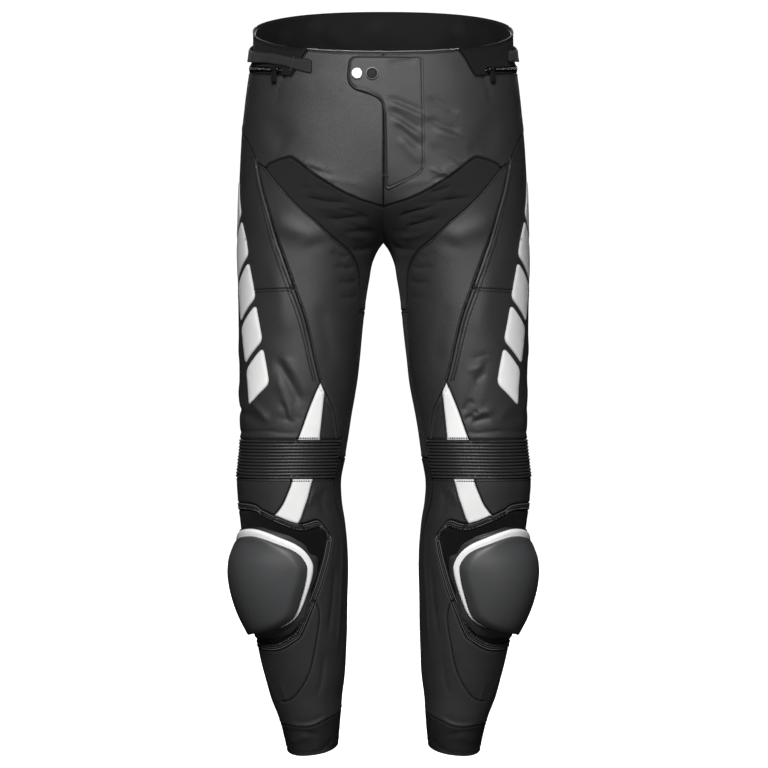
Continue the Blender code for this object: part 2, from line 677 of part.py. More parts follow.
class Cut:
    """A piece cut from the pattern: its corners are separate along the lines that it is cut on."""

    def __init__(self, pattern, chosen, stops):
        self.pattern, self.chosen = pattern, chosen
        parent = {(t, k): (t, k) for t in chosen for k in range(3)}

        def top(c):
            while parent[c] != c:
                parent[c] = parent[parent[c]]
                c = parent[c]
            return c

        members = set(chosen)
        self.free = []
        for t in chosen:
            corners = pattern.triangles[t]
            for k in range(3):
                a, b = corners[k], corners[(k + 1) % 3]
                key = tuple(sorted((a, b)))
                others = [o for o in pattern.edge_triangles[key] if o != t and o in members]
                if not others or pattern.edge_names[key] & stops:
                    self.free.append(((t, k), (t, (k + 1) % 3)))
                    continue
                other = pattern.triangles[others[0]]
                parent[top((t, k))] = top((others[0], other.index(a)))
                parent[top((t, (k + 1) % 3))] = top((others[0], other.index(b)))
        roots = sorted({top(c) for c in parent})
        number = {root: i for i, root in enumerate(roots)}
        self.corner = {c: number[top(c)] for c in parent}
        self.source = [pattern.triangles[t][k] for t, k in roots]
        self.faces = [[self.corner[(t, k)] for k in range(3)] for t in chosen]
        self.rim = [(self.corner[a], self.corner[b]) for a, b in self.free]

    def inset(self, gap):
        """How each point moves in along the cloth, so that the piece is that far inside its lines."""
        points = self.pattern.points[self.source]
        normals = self.pattern.normals[self.source]
        inward = {}
        for a, b in self.rim:
            along = points[b] - points[a]
            for corner in (a, b):
                direction = np.cross(normals[corner], along)
                inward.setdefault(corner, []).append(direction / np.linalg.norm(direction))
        moves = np.zeros_like(points)
        for corner, directions in inward.items():
            total = sum(directions)
            share = 1 + float(np.dot(directions[0], directions[-1]))
            move = total / max(share, 0.12) if len(directions) > 1 else total
            moves[corner] = move * gap
        return moves

    def wall(self, low, high):
        """The piece as a closed wall between two heights over the cloth's outside."""
        normals = self.pattern.normals[self.source]
        edge = self.pattern.points[self.source] + self.inset(SEAM_GAP / 2)
        upper = edge + normals * np.array([high(s) for s in self.source])[:, None]
        lower = edge + normals * np.array([low(s) for s in self.source])[:, None]
        count = len(self.source)
        faces = [tuple(face) for face in self.faces]
        faces += [tuple(corner + count for corner in reversed(face)) for face in self.faces]
        for a, b in self.rim:  # both sides of a seam split their rims the same way
            if self.source[a] < self.source[b]:
                faces += [(b, a, a + count), (b, a + count, b + count)]
            else:
                faces += [(b, a, b + count), (a, a + count, b + count)]
        return np.vstack([upper, lower]), faces


# --- materials and objects ---------------------------------------------------------------------
MATERIALS = {
    # name: colour, roughness, metallic
    "leather": ((0.012, 0.012, 0.013), 0.42, 0.0),
    "stretch": ((0.018, 0.018, 0.019), 0.85, 0.0),
    "white": ((0.8, 0.8, 0.79), 0.4, 0.0),
    "pile": ((0.02, 0.02, 0.02), 0.95, 0.0),
    "plastic": ((0.05, 0.05, 0.052), 0.45, 0.0),
    "lining": ((0.02, 0.02, 0.021), 0.8, 0.0),
    "tape": ((0.02, 0.02, 0.02), 0.7, 0.0),
    "bright_metal": ((0.62, 0.61, 0.6), 0.25, 1.0),
    "dark_metal": ((0.09, 0.09, 0.095), 0.3, 1.0),
}


def material(name):
    if name in bpy.data.materials:
        return bpy.data.materials[name]
    made = bpy.data.materials.new(name)
    made.use_nodes = True
    shader = made.node_tree.nodes["Principled BSDF"]
    colour, roughness, metallic = MATERIALS[name]
    shader.inputs["Base Color"].default_value = (*colour, 1)
    shader.inputs["Roughness"].default_value = roughness
    shader.inputs["Metallic"].default_value = metallic
    made.diffuse_color = (*colour, 1)
    return made


def add_object(name, points, faces, finish, collection):
    mesh = bpy.data.meshes.new(name)
    mesh.from_pydata([tuple(p * MM) for p in points], [], faces)
    mesh.materials.append(material(finish))
    mesh.shade_smooth()
    mesh.set_sharp_from_angle(angle=math.radians(40))
    piece = bpy.data.objects.new(name, mesh)
    collection.objects.link(piece)
    return piece


def side_name(name, side):
    return f"{name}_{'left' if side > 0 else 'right'}"


def both(names):
    return {side_name(name, side) for name in names for side in (1, -1)}


def rib_lift(pattern):
    """Height of each point of the accordion panel: up on every other row."""
    crests = both([f"rib_{k}" for k in range(0, 2 * RIBS - 1, 2)])
    raised = set()
    for key, names in pattern.edge_names.items():
        if names & crests:
            raised.update(key)
    return lambda source: RIB_HEIGHT if source in raised else 0.0


def add_panels(pattern, collection):
    stops = both(list(SEAMS) + ["binding"]) | {"waist_edge", "hem_edge"}
    ribs = rib_lift(pattern)
    for name, u, level, whole, finish in PANELS:
        for side in (1,) if whole else (1, -1):
            chosen = pattern.region(pattern.triangle_at(u, level, side), stops)
            high = ribs if name == "knee_ribs" else lambda source: 0.0
            points, faces = Cut(pattern, chosen, stops).wall(lambda source: -WALL, high)
            add_object(name if whole else side_name(name, side), points, faces, finish, collection)


# What is laid on the cloth: from and to these heights over the panel's outside.
SHIELD_LIFT = (LAID_GAP, LAID_GAP + 1.8)
TRIM_LIFT = (LAID_GAP, LAID_GAP + 1.6)
LINING_LIFT = (-WALL - LAID_GAP - LINING, -WALL - LAID_GAP)
BASE_LIFT = (LAID_GAP, LAID_GAP + 3.0)
BAND_LIFT = (BASE_LIFT[1] + LAID_GAP, BASE_LIFT[1] + LAID_GAP + 4.0)
PUCK_FOOT = BAND_LIFT[1] + LAID_GAP
PUCK_HEIGHTS = (13.0, 18.5, 21.5)  # of the dome at its edge, at its first ring, and inside


def puck_dome(pattern, side):
    """Height of the slider's dome at each point, by the ring that it lies in."""
    edge = set()
    first = set()
    for key, names in pattern.edge_names.items():
        if side_name("slider_puck", side) in names:
            edge.update(key)
        if side_name("puck_ring_0", side) in names:
            first.update(key)
    return lambda source: PUCK_HEIGHTS[0 if source in edge else 1 if source in first else 2]


def add_laid(pattern, collection, name, u, level, side, line, low, high, finish):
    chosen = pattern.region(pattern.triangle_at(u, level, side), {line})
    points, faces = Cut(pattern, chosen, {line}).wall(lambda source: low, high)
    return add_object(name, points, faces, finish, collection)


def flat_top(height):
    return lambda source: height


def add_laid_pieces(pattern, collection):
    add_laid(pattern, collection, "fly_shield", 0.06, -150, 1, "shield", SHIELD_LIFT[0],
             flat_top(SHIELD_LIFT[1]), "leather")
    pieces = (
        # name, u, level, line, lift, material
        ("strap", 0.55, -30, "strap", TRIM_LIFT, "tape"),
        ("hip_zip", 0.5, -49.5, "hip_zip", TRIM_LIFT, "tape"),
        ("slider_base", 0.35, -740, "slider_base", BASE_LIFT, "plastic"),
        ("slider_band", 0.35, -740, "slider_band", BAND_LIFT, "white"),
    )
    for side in (1, -1):
        for name, u, level, line, (low, high), finish in pieces:
            add_laid(pattern, collection, side_name(name, side), u, level, side,
                     side_name(line, side), low, flat_top(high), finish)
        add_laid(pattern, collection, side_name("slider_puck", side), 0.35, -740, side,
                 side_name("slider_puck", side), PUCK_FOOT, puck_dome(pattern, side), "plastic")
    seed = pattern.triangle_at(0.8, -30, 1)
    chosen = pattern.region(seed, both(["lining"]))
    points, faces = Cut(pattern, chosen, both(["lining"])).wall(
        lambda source: LINING_LIFT[0], flat_top(LINING_LIFT[1]))
    add_object("waist_lining", points, faces, "lining", collection)


# --- small hard pieces -------------------------------------------------------------------------
def seat(pattern, place, lift):
    """(point, out, along, up) in millimetres where a hard piece sits that far over the cloth."""
    vertex = pattern.vertex_at(np.array(place))
    out = pattern.normals[vertex]
    along = np.cross(np.array([0, 0, 1.0]), out)
    along /= np.linalg.norm(along)
    return pattern.points[vertex] + out * lift, out, along, np.cross(out, along)


def place_object(piece, point, x_axis, y_axis, z_axis):
    """Set a piece at a point, with its own axes turned to these directions."""
    turned = np.eye(4)
    turned[:3, 0], turned[:3, 1], turned[:3, 2] = x_axis, y_axis, z_axis
    turned[:3, 3] = np.array(point) * MM
    piece.matrix_world = Matrix(turned.tolist())


SNAP_RISE = 3.0
SNAP_SIDES = 20


def add_snap(pattern, collection, name, x, z, diameter, finish):
    """A domed press button: a turned profile on the fly shield."""
    radius = diameter / 2
    profile = [(0, SNAP_RISE), (0.45 * radius, 0.93 * SNAP_RISE), (0.8 * radius, 0.66 * SNAP_RISE),
               (0.97 * radius, 0.3 * SNAP_RISE), (radius, 0), (0, 0)]
    mesh = bpy.data.meshes.new(name)
    points = [(r * MM, 0, height * MM) for r, height in profile]
    mesh.from_pydata(points, [(k, k + 1) for k in range(len(points) - 1)], [])
    mesh.materials.append(material(finish))
    piece = bpy.data.objects.new(name, mesh)
    collection.objects.link(piece)
    turned = piece.modifiers.new("turned", "SCREW")
    turned.steps = turned.render_steps = SNAP_SIDES
    turned.use_merge_vertices = True
    turned.merge_threshold = 0.00001
    u, level = place_front(abs(x), z)
    flat_place = (math.copysign(u, x) * FLAT_WIDTH, level)
    point, out, along, up = seat(pattern, flat_place, SHIELD_LIFT[1] + 0.4)
    place_object(piece, point, along, up, out)


SLIDER_BODY = (11.0, 7.5, 2.6)  # along the zip, across it and high
PIN_RADIUS, EYE_BORE, EYE_RADIUS = 0.7, 1.05, 2.0
EYE_WIDTH = 4.6
PIN_LIFT = SLIDER_BODY[2] + 2.4
PULL_SIZE = (8.5, 1.4, 14.0)  # wide, thick and long
EAR_CLEARANCE = 0.7
ROUND_SIDES = 12


def add_box(collection, name, size, middle, finish, bevel=0.0):
    made = bmesh.new()
    bmesh.ops.create_cube(made, size=1.0)
    bmesh.ops.scale(made, vec=Vector(size) * MM, verts=made.verts)
    if bevel:
        bmesh.ops.bevel(made, geom=made.edges[:], offset=bevel * MM, segments=2, profile=0.5,
                        affect="EDGES")
    bmesh.ops.translate(made, vec=Vector(middle) * MM, verts=made.verts)
    return mesh_object(collection, name, made, finish)


def add_rod(collection, name, radius, length, middle, finish):
    """A round bar along X."""
    made = bmesh.new()
    bmesh.ops.create_cone(made, cap_ends=True, segments=ROUND_SIDES, radius1=radius * MM,
                          radius2=radius * MM, depth=length * MM)
    for point in made.verts:
        point.co = Vector((point.co.z, point.co.x, point.co.y)) + Vector(middle) * MM
    return mesh_object(collection, name, made, finish)


def mesh_object(collection, name, made, finish):
    mesh = bpy.data.meshes.new(name)
    made.to_mesh(mesh)
    made.free()
    mesh.materials.append(material(finish))
    piece = bpy.data.objects.new(name, mesh)
    collection.objects.link(piece)
    return piece


def combine(piece, other, operation):
    """Join the other object to the piece, or cut it out of it, and remove the other."""
    step = piece.modifiers.new(operation.lower(), "BOOLEAN")
    step.operation = operation
    step.solver = "EXACT"
    step.object = other
    bpy.context.view_layer.update()
    ready = piece.evaluated_get(bpy.context.evaluated_depsgraph_get())
    mesh = bpy.data.meshes.new_from_object(ready)
    piece.modifiers.clear()
    piece.data = mesh
    bpy.data.objects.remove(other)


def add_zip_slider(pattern, collection, side):
    """The zip's slider: a body on the teeth, with two ears that hold the pull tab's pin."""
    name = side_name("zip_slider", side)
    long, wide, high = SLIDER_BODY
    body = add_box(collection, name, (long, wide, high), (0, 0, high / 2), "dark_metal", bevel=0.5)
    ear_x = EYE_WIDTH / 2 + 0.35 + 0.6
    for sign in (1, -1):
        ear = add_box(collection, "ear", (1.2, 2.6, PIN_LIFT), (sign * ear_x, 0, PIN_LIFT / 2 + 0.8),
                      "dark_metal")
        combine(body, ear, "UNION")
    pin = add_rod(collection, "pin", PIN_RADIUS, 2 * ear_x, (0, 0, PIN_LIFT), "dark_metal")
    combine(body, pin, "UNION")
    point, out, along, up = seat(pattern, (SLIDER_PLACE[0] * FLAT_WIDTH * side, SLIDER_PLACE[1]),
                                 TRIM_LIFT[1] + 0.4)
    place_object(body, point, along, up, out)
    add_zip_pull(collection, side, point + out * PIN_LIFT, along)


def add_zip_pull(collection, side, hinge, along):
    """The pull tab: an eye round the slider's pin, and a tab that hangs from it."""
    name = side_name("zip_pull", side)
    wide, thick, long = PULL_SIZE
    top = -EYE_RADIUS - EAR_CLEARANCE
    tab = add_box(collection, name, (wide, thick, long), (0, 0, top - long / 2), "dark_metal", bevel=0.35)
    neck = add_box(collection, "neck", (EYE_WIDTH, thick * 0.9, EYE_RADIUS + EAR_CLEARANCE),
                   (0, 0, top / 2 - 0.9), "dark_metal")
    combine(tab, neck, "UNION")
    eye = add_rod(collection, "eye", EYE_RADIUS, EYE_WIDTH, (0, 0, 0), "dark_metal")
    combine(tab, eye, "UNION")
    bore = add_rod(collection, "bore", EYE_BORE, EYE_WIDTH + 2, (0, 0, 0), "dark_metal")
    combine(tab, bore, "DIFFERENCE")
    out = np.cross(along, np.array([0, 0, 1.0]))
    place_object(tab, hinge, along, -out, np.array([0, 0, 1.0]))


def main():
    for thing in list(bpy.data.objects):
        bpy.data.objects.remove(thing)
    collection = bpy.data.collections.new("motorcycle_trousers")
    bpy.context.scene.collection.children.link(collection)
    pattern = Pattern()
    add_panels(pattern, collection)
    add_laid_pieces(pattern, collection)
    for name, x, z, diameter, finish in SNAPS:
        add_snap(pattern, collection, name, x, z, diameter, finish)
    for side in (1, -1):
        add_zip_slider(pattern, collection, side)


main()
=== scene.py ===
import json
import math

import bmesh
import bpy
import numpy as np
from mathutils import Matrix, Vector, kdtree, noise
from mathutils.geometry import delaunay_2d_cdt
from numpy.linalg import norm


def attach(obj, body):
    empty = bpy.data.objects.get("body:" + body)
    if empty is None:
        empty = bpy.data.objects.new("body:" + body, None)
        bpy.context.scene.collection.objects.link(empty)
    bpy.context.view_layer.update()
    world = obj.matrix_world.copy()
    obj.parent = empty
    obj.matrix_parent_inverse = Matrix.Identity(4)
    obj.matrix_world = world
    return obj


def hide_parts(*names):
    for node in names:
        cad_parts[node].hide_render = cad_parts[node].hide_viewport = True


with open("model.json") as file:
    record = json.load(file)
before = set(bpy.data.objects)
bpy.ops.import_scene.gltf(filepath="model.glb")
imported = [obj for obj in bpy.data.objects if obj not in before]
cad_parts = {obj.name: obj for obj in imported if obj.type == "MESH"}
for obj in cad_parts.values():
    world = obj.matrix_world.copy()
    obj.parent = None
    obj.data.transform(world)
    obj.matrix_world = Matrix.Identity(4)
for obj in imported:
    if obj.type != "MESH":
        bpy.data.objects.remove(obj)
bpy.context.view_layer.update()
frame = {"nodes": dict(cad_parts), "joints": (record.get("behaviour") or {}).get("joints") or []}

# %% [markdown]
# # Leather motorcycle trousers
# These trousers are cut from about forty panels: black cowhide where they have to resist a slide,
# stretch cloth where they have to bend, white cowhide for the stripes. The frame that was just loaded
# holds each panel as a coarse solid. This script makes the same panels again, fine enough for creases,
# rolled seam edges, stitches and piping, and hides each coarse solid behind its fine piece.
#
# All sizes are in millimetres until a mesh is made. +Z is up and the wearer looks along -Y.

MM = 0.001

# %% [markdown]
# ## The form
# A tailor's form of the garment: horizontal sections of the left half, from the waist edge to the hem.
# Each is a superellipse, and above the crotch the middle plane cuts it open, so that the two halves
# meet. A place on the flat pattern is (x, level): x goes round the body, with the outer side at the
# middle of the pattern. Below the crotch the pattern's two borders are the inseam. Above it they are the
# centre front and the centre back, which curve in as a real trouser pattern does.

# %% The sections
WALL = 2.0
CROTCH_LEVEL = -284.0
HEM_LEVEL = -964.0
OUTSEAM = 0.56
SECTION_COLUMNS = ("level", "outer", "inner", "front", "back", "square", "turn", "tilt", "cant")
SECTIONS = np.array((
    (0, 174, -174, -115, 115, 2.3, 0, 0.36, 0),
    (-30, 175, -175, -117, 118, 2.3, 0, 0.29, 0),
    (-65, 181, -181, -119, 123, 2.3, 0, 0.17, 0),
    (-105, 186, -184, -120, 131, 2.3, 0, 0.07, 0),
    (-146, 190, -172, -120, 138, 2.3, 0, 0, 0),
    (-200, 193, -118, -117, 141, 2.3, 0, 0, 0),
    (-240, 194, -56, -113, 137, 2.3, 0, 0, 0),
    (-265, 194.6, -20, -110, 131, 2.25, 0, 0, 0),
    (-278, 195, -6, -109, 126, 2.2, 0, 0, 0),
    (-284, 195, 0, -108, 124, 2.2, 0, 0, 0),
    (-307, 195.6, 12.7, -107, 118, 2.2, 0, 0, 0),
    (-334, 195.6, 18.1, -106, 112, 2.15, 2, 0, 0),
    (-414, 193.6, 28.8, -104, 93, 2.15, 10, 0, 0),
    (-468, 191.6, 34.8, -101, 82, 2.15, 17, 0, 0),
    (-521, 191.8, 43.6, -97, 74, 2.15, 26, 0, 0),
    (-548, 191, 47.6, -95, 71, 2.15, 30, 0, 0),
    (-575, 193.6, 51.6, -92.5, 69, 2.15, 30, 0, 0),
    (-602, 196.2, 56.3, -89, 70, 2.15, 30, 0, 0),
    (-628, 195, 55.6, -84, 74, 2.15, 28, 0, 0),
    (-655, 192.3, 51.6, -78, 79, 2.15, 22, 0, 0),
    (-709, 187, 47.6, -65, 89, 2.15, 13, 0, 0),
    (-762, 180, 48.2, -51, 95, 2.15, 10, 0, 0),
    (-816, 170, 49, -35, 97, 2.15, 10, 0, 0),
    (-870, 157, 51.6, -17, 96, 2.15, 10, 0.05, -0.02),
    (-896, 149.4, 55, -8, 94.5, 2.15, 10, 0.1, -0.05),
    (-923, 138.7, 57, 0, 92, 2.2, 10, 0.15, -0.09),
    (-950, 132, 59.6, 6, 90, 2.2, 10, 0.2, -0.12),
    (-970, 129, 62, 9, 89, 2.2, 10, 0.2, -0.12),
))


def hermite(xs, ys, x):
    """The smooth curve through the rows of a table, at the values x."""
    slopes = np.gradient(ys, xs)
    i = np.clip(np.searchsorted(xs, x) - 1, 0, len(xs) - 2)
    step = xs[i + 1] - xs[i]
    t = (x - xs[i]) / step
    da, db = slopes[i] * step, slopes[i + 1] * step
    near, far = (2 * t**3 - 3 * t**2 + 1), (3 * t**2 - 2 * t**3)
    return near * ys[i] + (t**3 - 2 * t**2 + t) * da + far * ys[i + 1] + (t**3 - t**2) * db


# %% [markdown]
# Every section is measured once, at steps of a millimetre in height, and divided into equal steps of
# the pattern. Any place on the cloth is then a look-up between four neighbours, fast enough for the
# hundred thousand points that the fine panels need.

# %% The form as a table of points
LEVEL_STEP = 1.0
COLUMNS = 480
RING_STEPS = 360
FLAT_WIDTH = 500.0
WAIST_SCALE, SCALE_LEVEL = 0.88, -190.0  # units of the pattern for a millimetre round the waist


def eased(share):
    """The share from 0 to 1 with a soft start and a soft end."""
    share = np.clip(share, 0, 1)
    return share * share * (3 - 2 * share)


def bell(distance, width, at=0.0):
    """1 at that distance, falling off smoothly within the width."""
    return np.exp(-((distance - at) / width)**2)


def section_outline(level):
    """Points right round the section at that level, how far along each is, and where x is 0."""
    rising = SECTIONS[::-1]
    s = {name: float(hermite(rising[:, 0], rising[:, k], level))
         for k, name in enumerate(SECTION_COLUMNS) if k}
    mid_x, half_x = (s["outer"] + s["inner"]) / 2, (s["outer"] - s["inner"]) / 2
    mid_y, half_y = (s["front"] + s["back"]) / 2, (s["back"] - s["front"]) / 2
    power = 2 / s["square"]
    first = math.pi + math.radians(s["turn"])
    angles = np.linspace(first, first + 2 * math.pi, RING_STEPS + 1)
    c, n = np.cos(angles), np.sin(angles)
    x = mid_x + half_x * np.sign(c) * np.abs(c) ** power
    y = mid_y + half_y * np.sign(n) * np.abs(n) ** power
    z = level + s["tilt"] * (y - mid_y) + s["cant"] * (x - mid_x)
    along = np.concatenate([[0], np.cumsum(np.sqrt(np.diff(x)**2 + np.diff(y)**2 + np.diff(z)**2))])
    cut = 0.0
    if level > CROTCH_LEVEL:
        middle = math.pi + math.acos(min(1, max(0, mid_x / half_x)) ** (1 / power))
        cut = float(np.interp(middle, angles, along))
    return np.stack([x, y, z], axis=1), along, cut


LEVELS = np.arange(0, HEM_LEVEL - 4, -LEVEL_STEP)
outlines = [section_outline(level) for level in LEVELS]
RINGS = np.array([along[-1] for _, along, _ in outlines])
CUTS = np.array([cut for _, _, cut in outlines])
CROTCH_SCALE = FLAT_WIDTH / RINGS[LEVELS <= CROTCH_LEVEL][0]
blend = eased((LEVELS - CROTCH_LEVEL) / (SCALE_LEVEL - CROTCH_LEVEL))
SCALES = np.where(LEVELS > CROTCH_LEVEL, CROTCH_SCALE + (WAIST_SCALE - CROTCH_SCALE) * blend,
                  FLAT_WIDTH / RINGS)
GIRTHS = RINGS - 2 * CUTS
BORDERS = FLAT_WIDTH / 2 - GIRTHS / 2 * SCALES
across = np.linspace(-FLAT_WIDTH / 2, FLAT_WIDTH / 2, COLUMNS + 1)
FORM = np.array([[np.interp(along[-1] / 2 + across / scale, along, points[:, k]) for k in range(3)]
                 for (points, along, _), scale in zip(outlines, SCALES)]).transpose(0, 2, 1)
print("half girth at the hips", round(GIRTHS[140]), "mm, round the cuff", round(GIRTHS[960]), "mm")

# %% Looking up a place on the form
def cloth_points(x, level):
    """Places of the left half's pattern as points, for whole arrays."""
    row = np.clip(-np.asarray(level) / LEVEL_STEP, 0, len(LEVELS) - 1.001)
    col = np.clip(np.asarray(x) / FLAT_WIDTH * COLUMNS, 0, COLUMNS - 1e-6)
    i, j = row.astype(int), col.astype(int)
    a, b = (row - i)[..., None], (col - j)[..., None]
    upper = (1 - b) * FORM[i, j] + b * FORM[i, j + 1]
    lower = (1 - b) * FORM[i + 1, j] + b * FORM[i + 1, j + 1]
    return (1 - a) * upper + a * lower


def at_level(values, level):
    return np.interp(-np.asarray(level), -LEVELS, values)


def border(level):
    """Where the pattern's first border is; the second is as far from the other side."""
    return at_level(BORDERS, level)


def about(share, level):
    """The place at that share of the way round, from the first border to the second."""
    edge = float(border(level))
    return edge + share * (FLAT_WIDTH - 2 * edge), level


def around(*places):
    return tuple(about(share, level) for share, level in places)


def seen(x, z):
    """The place on the front that is seen at x and z from straight ahead."""
    level, place = z, FLAT_WIDTH / 4
    for _ in range(14):
        row = int(np.clip(round(-level / LEVEL_STEP), 0, len(LEVELS) - 1))
        half = FORM[row, : COLUMNS // 2 + 1, 0]
        place = float(np.interp(x, half, np.linspace(0, FLAT_WIDTH / 2, COLUMNS // 2 + 1)))
        level += z - float(cloth_points(np.array(place), np.array(level))[2])
    return place, level


def front(*places):
    return tuple(seen(x, z) for x, z in places)

# %% [markdown]
# ## The cut
# Seams are drawn as the few places that each curve goes through. Most are places seen on the front; the
# rest are given by their share of the way round. A curve through them becomes the edge of two panels.

# %% Seams of the left half
def smooth_curve(points, closed=False, parts=10):
    """Points on a Catmull-Rom curve through the given ones."""
    points = np.array(points, float)
    n = len(points)
    result = []
    for i in range(n if closed else n - 1):
        if closed:
            p0, p1, p2, p3 = (points[(i + k) % n] for k in (-1, 0, 1, 2))
        else:
            p0, p1, p2, p3 = (points[min(max(i + k, 0), n - 1)] for k in (-1, 0, 1, 2))
        for t in np.arange(parts) / parts:
            result.append(0.5 * (2 * p1 + (p2 - p0) * t + (2 * p0 - 5 * p1 + 4 * p2 - p3) * t**2
                                 + (3 * p1 - p0 - 3 * p2 + p3) * t**3))
    if not closed:
        result.append(points[-1])
    return np.array(result)


def seen_curve(*places):
    """The smooth curve that is seen through places given by x and z, as closely set places."""
    return front(*smooth_curve(places, parts=5))


def middle_line(share, top, low):
    """A stretch of the pattern's border."""
    return tuple(about(share, level) for level in np.linspace(top, low, 31))


KNEE_TOP, KNEE_LOW, KNEE_BACK = -546.0, -597.5, -571.0
INNER_BACK = 0.86
GUSSET_LOW = -375.0
SEAMS = {
    "centre_front": middle_line(0, 0, -242),
    "centre_back": middle_line(1, -75, -236),
    "inseam": around((0, -452), (0, HEM_LEVEL)),
    "outseam": tuple(about(OUTSEAM, level) for level in (0, -60, -120, -180, -240, -284, -924)),
    "apron_side": (about(0.209, 0), seen(109.8, -51.8), seen(121, -71)),
    "waist_low": (
        *front((121, -71), (151, -66)), *around((0.5, -56), (OUTSEAM, -54), (0.75, -62), (1, -75)),
    ),
    "apron_low": (
        about(0, -242), *seen_curve(
            (29, -234), (51, -224.6), (71.7, -212.9), (92.6, -199), (116.2, -180.2), (125.5, -178),
            (146.9, -184.6), (154.2, -190.7)),
    ),
    "hip": (
        about(OUTSEAM, -98), about(0.5, -121.2), *seen_curve(
            (179.5, -150.1), (166, -179.8), (154.2, -190.7), (132.4, -218.5), (110.1, -242.7),
            (87.9, -261.3), (61.6, -285.1), (46.9, -296.3), (36.7, -310.3), (31.6, -330.7),
            (31.5, -375.1), (33.5, -401.6), (34.8, -428)),
        about(0, -452),
    ),
    "diagonal": (
        *seen_curve((166, -179.8), (158.9, -214.9), (150.2, -245.7), (138.2, -285.4), (115.2, -349.4),
                    (100.2, -394.9), (83.9, -465.2), (73.6, -487.9), (65.9, -505.8)),
        about(0.015, KNEE_TOP),
    ),
    "cross": (seen(115.2, -349.4), seen(164, -350.6), about(OUTSEAM, -352)),
    "stripe_thigh_inner": front((78.5, -477), (77.6, -489.7), (80.1, -514.8), (83, KNEE_TOP)),
    "stripe_thigh_outer": front((82, -470.5), (91.8, -493.9), (103.8, -525.8), (111, KNEE_TOP)),
    "ribs_top": around((0, KNEE_TOP), (OUTSEAM, KNEE_TOP)),
    "ribs_low": around((0, KNEE_LOW), (OUTSEAM, KNEE_LOW)),
    "stripe_shin_inner": front((91.7, KNEE_LOW), (98.9, -622.4), (107.1, -646.4), (112, -656.1)),
    "stripe_shin_outer": front((118.8, KNEE_LOW), (121.5, -608.7), (130.9, -630.1), (141.8, -645.5)),
    "patch_top": (
        about(OUTSEAM, -634), *front(
            (179.1, -629.9), (158.6, -638.1), (141.8, -645.5), (111.9, -656.1), (89.3, -651.1),
            (81.9, -655.2), (67.9, -675.7)),
    ),
    "patch_side": (
        *front((67.9, -675.7), (76.2, -718.1), (85.4, -748.6), (96.1, -776.3), (106.6, -801.7),
               (116.2, -814), (145.3, -828.8)),
        *around((0.5, -826), (OUTSEAM, -824)),
    ),
    "tongue": front(
        (88.7, -757.3), (84, -785), (92.7, -838.8), (102.5, -868.1), (117.1, -890.5), (129.3, -898),
        (141.6, -895.1), (156.3, -859.6), (163.5, -829)),
    "cuff_seam": (
        about(0, -915), *front((74.2, -923.5), (92.9, -931.9), (109, -934), (129.6, -931.9)),
        *around((0.5, -926.3), (0.75, -918), (1, -915)),
    ),
    "inner_back": around(
        (1, -236), (0.955, -262), (0.925, -290), (0.88, -330), (INNER_BACK, GUSSET_LOW), (INNER_BACK, -600),
        (INNER_BACK, -760), (INNER_BACK, -916.5)),
    "gusset_low_front": (about(0, GUSSET_LOW), seen(31.5, -375.1)),
    "gusset_low_back": around((1, GUSSET_LOW), (INNER_BACK, GUSSET_LOW)),
    "knee_back": around((OUTSEAM, KNEE_BACK), (1, KNEE_BACK)),
}
BINDING_WIDTH = 10.8

# %% [markdown]
# A panel is named by one place inside it: the script fills out from there to the seams around it, the
# way paint fills a shape. Its finish comes with it.

# %% Panels
PANELS = (
    # name, share of the way round, level, finish
    ("front", 0.2, -120, "cowhide"),
    ("side_waist", 0.45, -30, "waist_weave"),
    ("waist_back", 0.8, -30, "waist_weave"),
    ("gusset", 0.03, -262, "stretch_weave"),
    ("back", 0.7, -200, "cowhide"),
    ("inner_leg", 0.93, -480, "stretch_weave"),
    ("thigh_front", 0.16, -350, "cowhide"),
    ("thigh_upper", 0.4, -250, "cowhide"),
    ("thigh_lower", 0.4, -450, "cowhide"),
    ("stripe_thigh", 0.115, -530, "white_cowhide"),
    ("knee_wedge", 0.06, -530, "cowhide"),
    ("knee_ribs", 0.3, -571, "rib_cowhide"),
    ("shin_top", 0.4, -615, "cowhide"),
    ("stripe_shin", 0.135, -620, "white_cowhide"),
    ("shin_front", 0.05, -620, "cowhide"),
    ("knee_patch", 0.35, -740, "loop_pile"),
    ("patch_binding", 0.109, -697, "binding_tape"),
    ("shin_tongue", 0.25, -860, "cowhide"),
    ("cuff", 0.3, -950, "cuff_cowhide"),
    ("calf", 0.7, -750, "stretch_weave"),
    ("shin_inner", 0.93, -750, "cowhide"),
)
WHOLE = ("waist_back", "gusset")  # one piece across the middle

# %% [markdown]
# What is sewn or stuck on top of the panels: the fly's shield with its tab, the hip straps, the zips,
# the knee sliders, and a row of slanted white blocks down the outer thigh.

# %% Outlines of the laid pieces
SHIELD = (
    (-38, -47), (-45, -52), (-47.5, -74), (-45, -84.3), (-37.5, -91.8), (-20.2, -96.9),
    (-8, -102), (-1.5, -110), (0.6, -124), (1.5, -170), (2, -222.6), (24, -213), (41.9, -204.6),
    (50, -199), (54, -190), (53.5, -120), (52, -46),
)
STRAP_RIGHT = (
    *front((92.8, -50), (112.6, -47.7), (142.1, -38.8)), *around((0.5, -25.4), (0.7, -22),
    (0.7, -38), (0.5, -42.8)), *front((151.6, -50.9), (128.5, -57.2), (92.7, -69.8)),
)
STRAP_LEFT = (
    seen(162, -33), *around((0.5, -25.4), (0.7, -22), (0.7, -38), (0.5, -42.8)),
    seen(162, -48),
)
ZIP_LINE = smooth_curve((seen(133, -63), seen(151, -59.5), about(0.5, -49.5), about(0.6, -47.5)))
ZIP_WIDTH = 8.0
LINING_OUTLINE = around((1, -3), (0.4, -3), (0.4, -46), (1, -66))
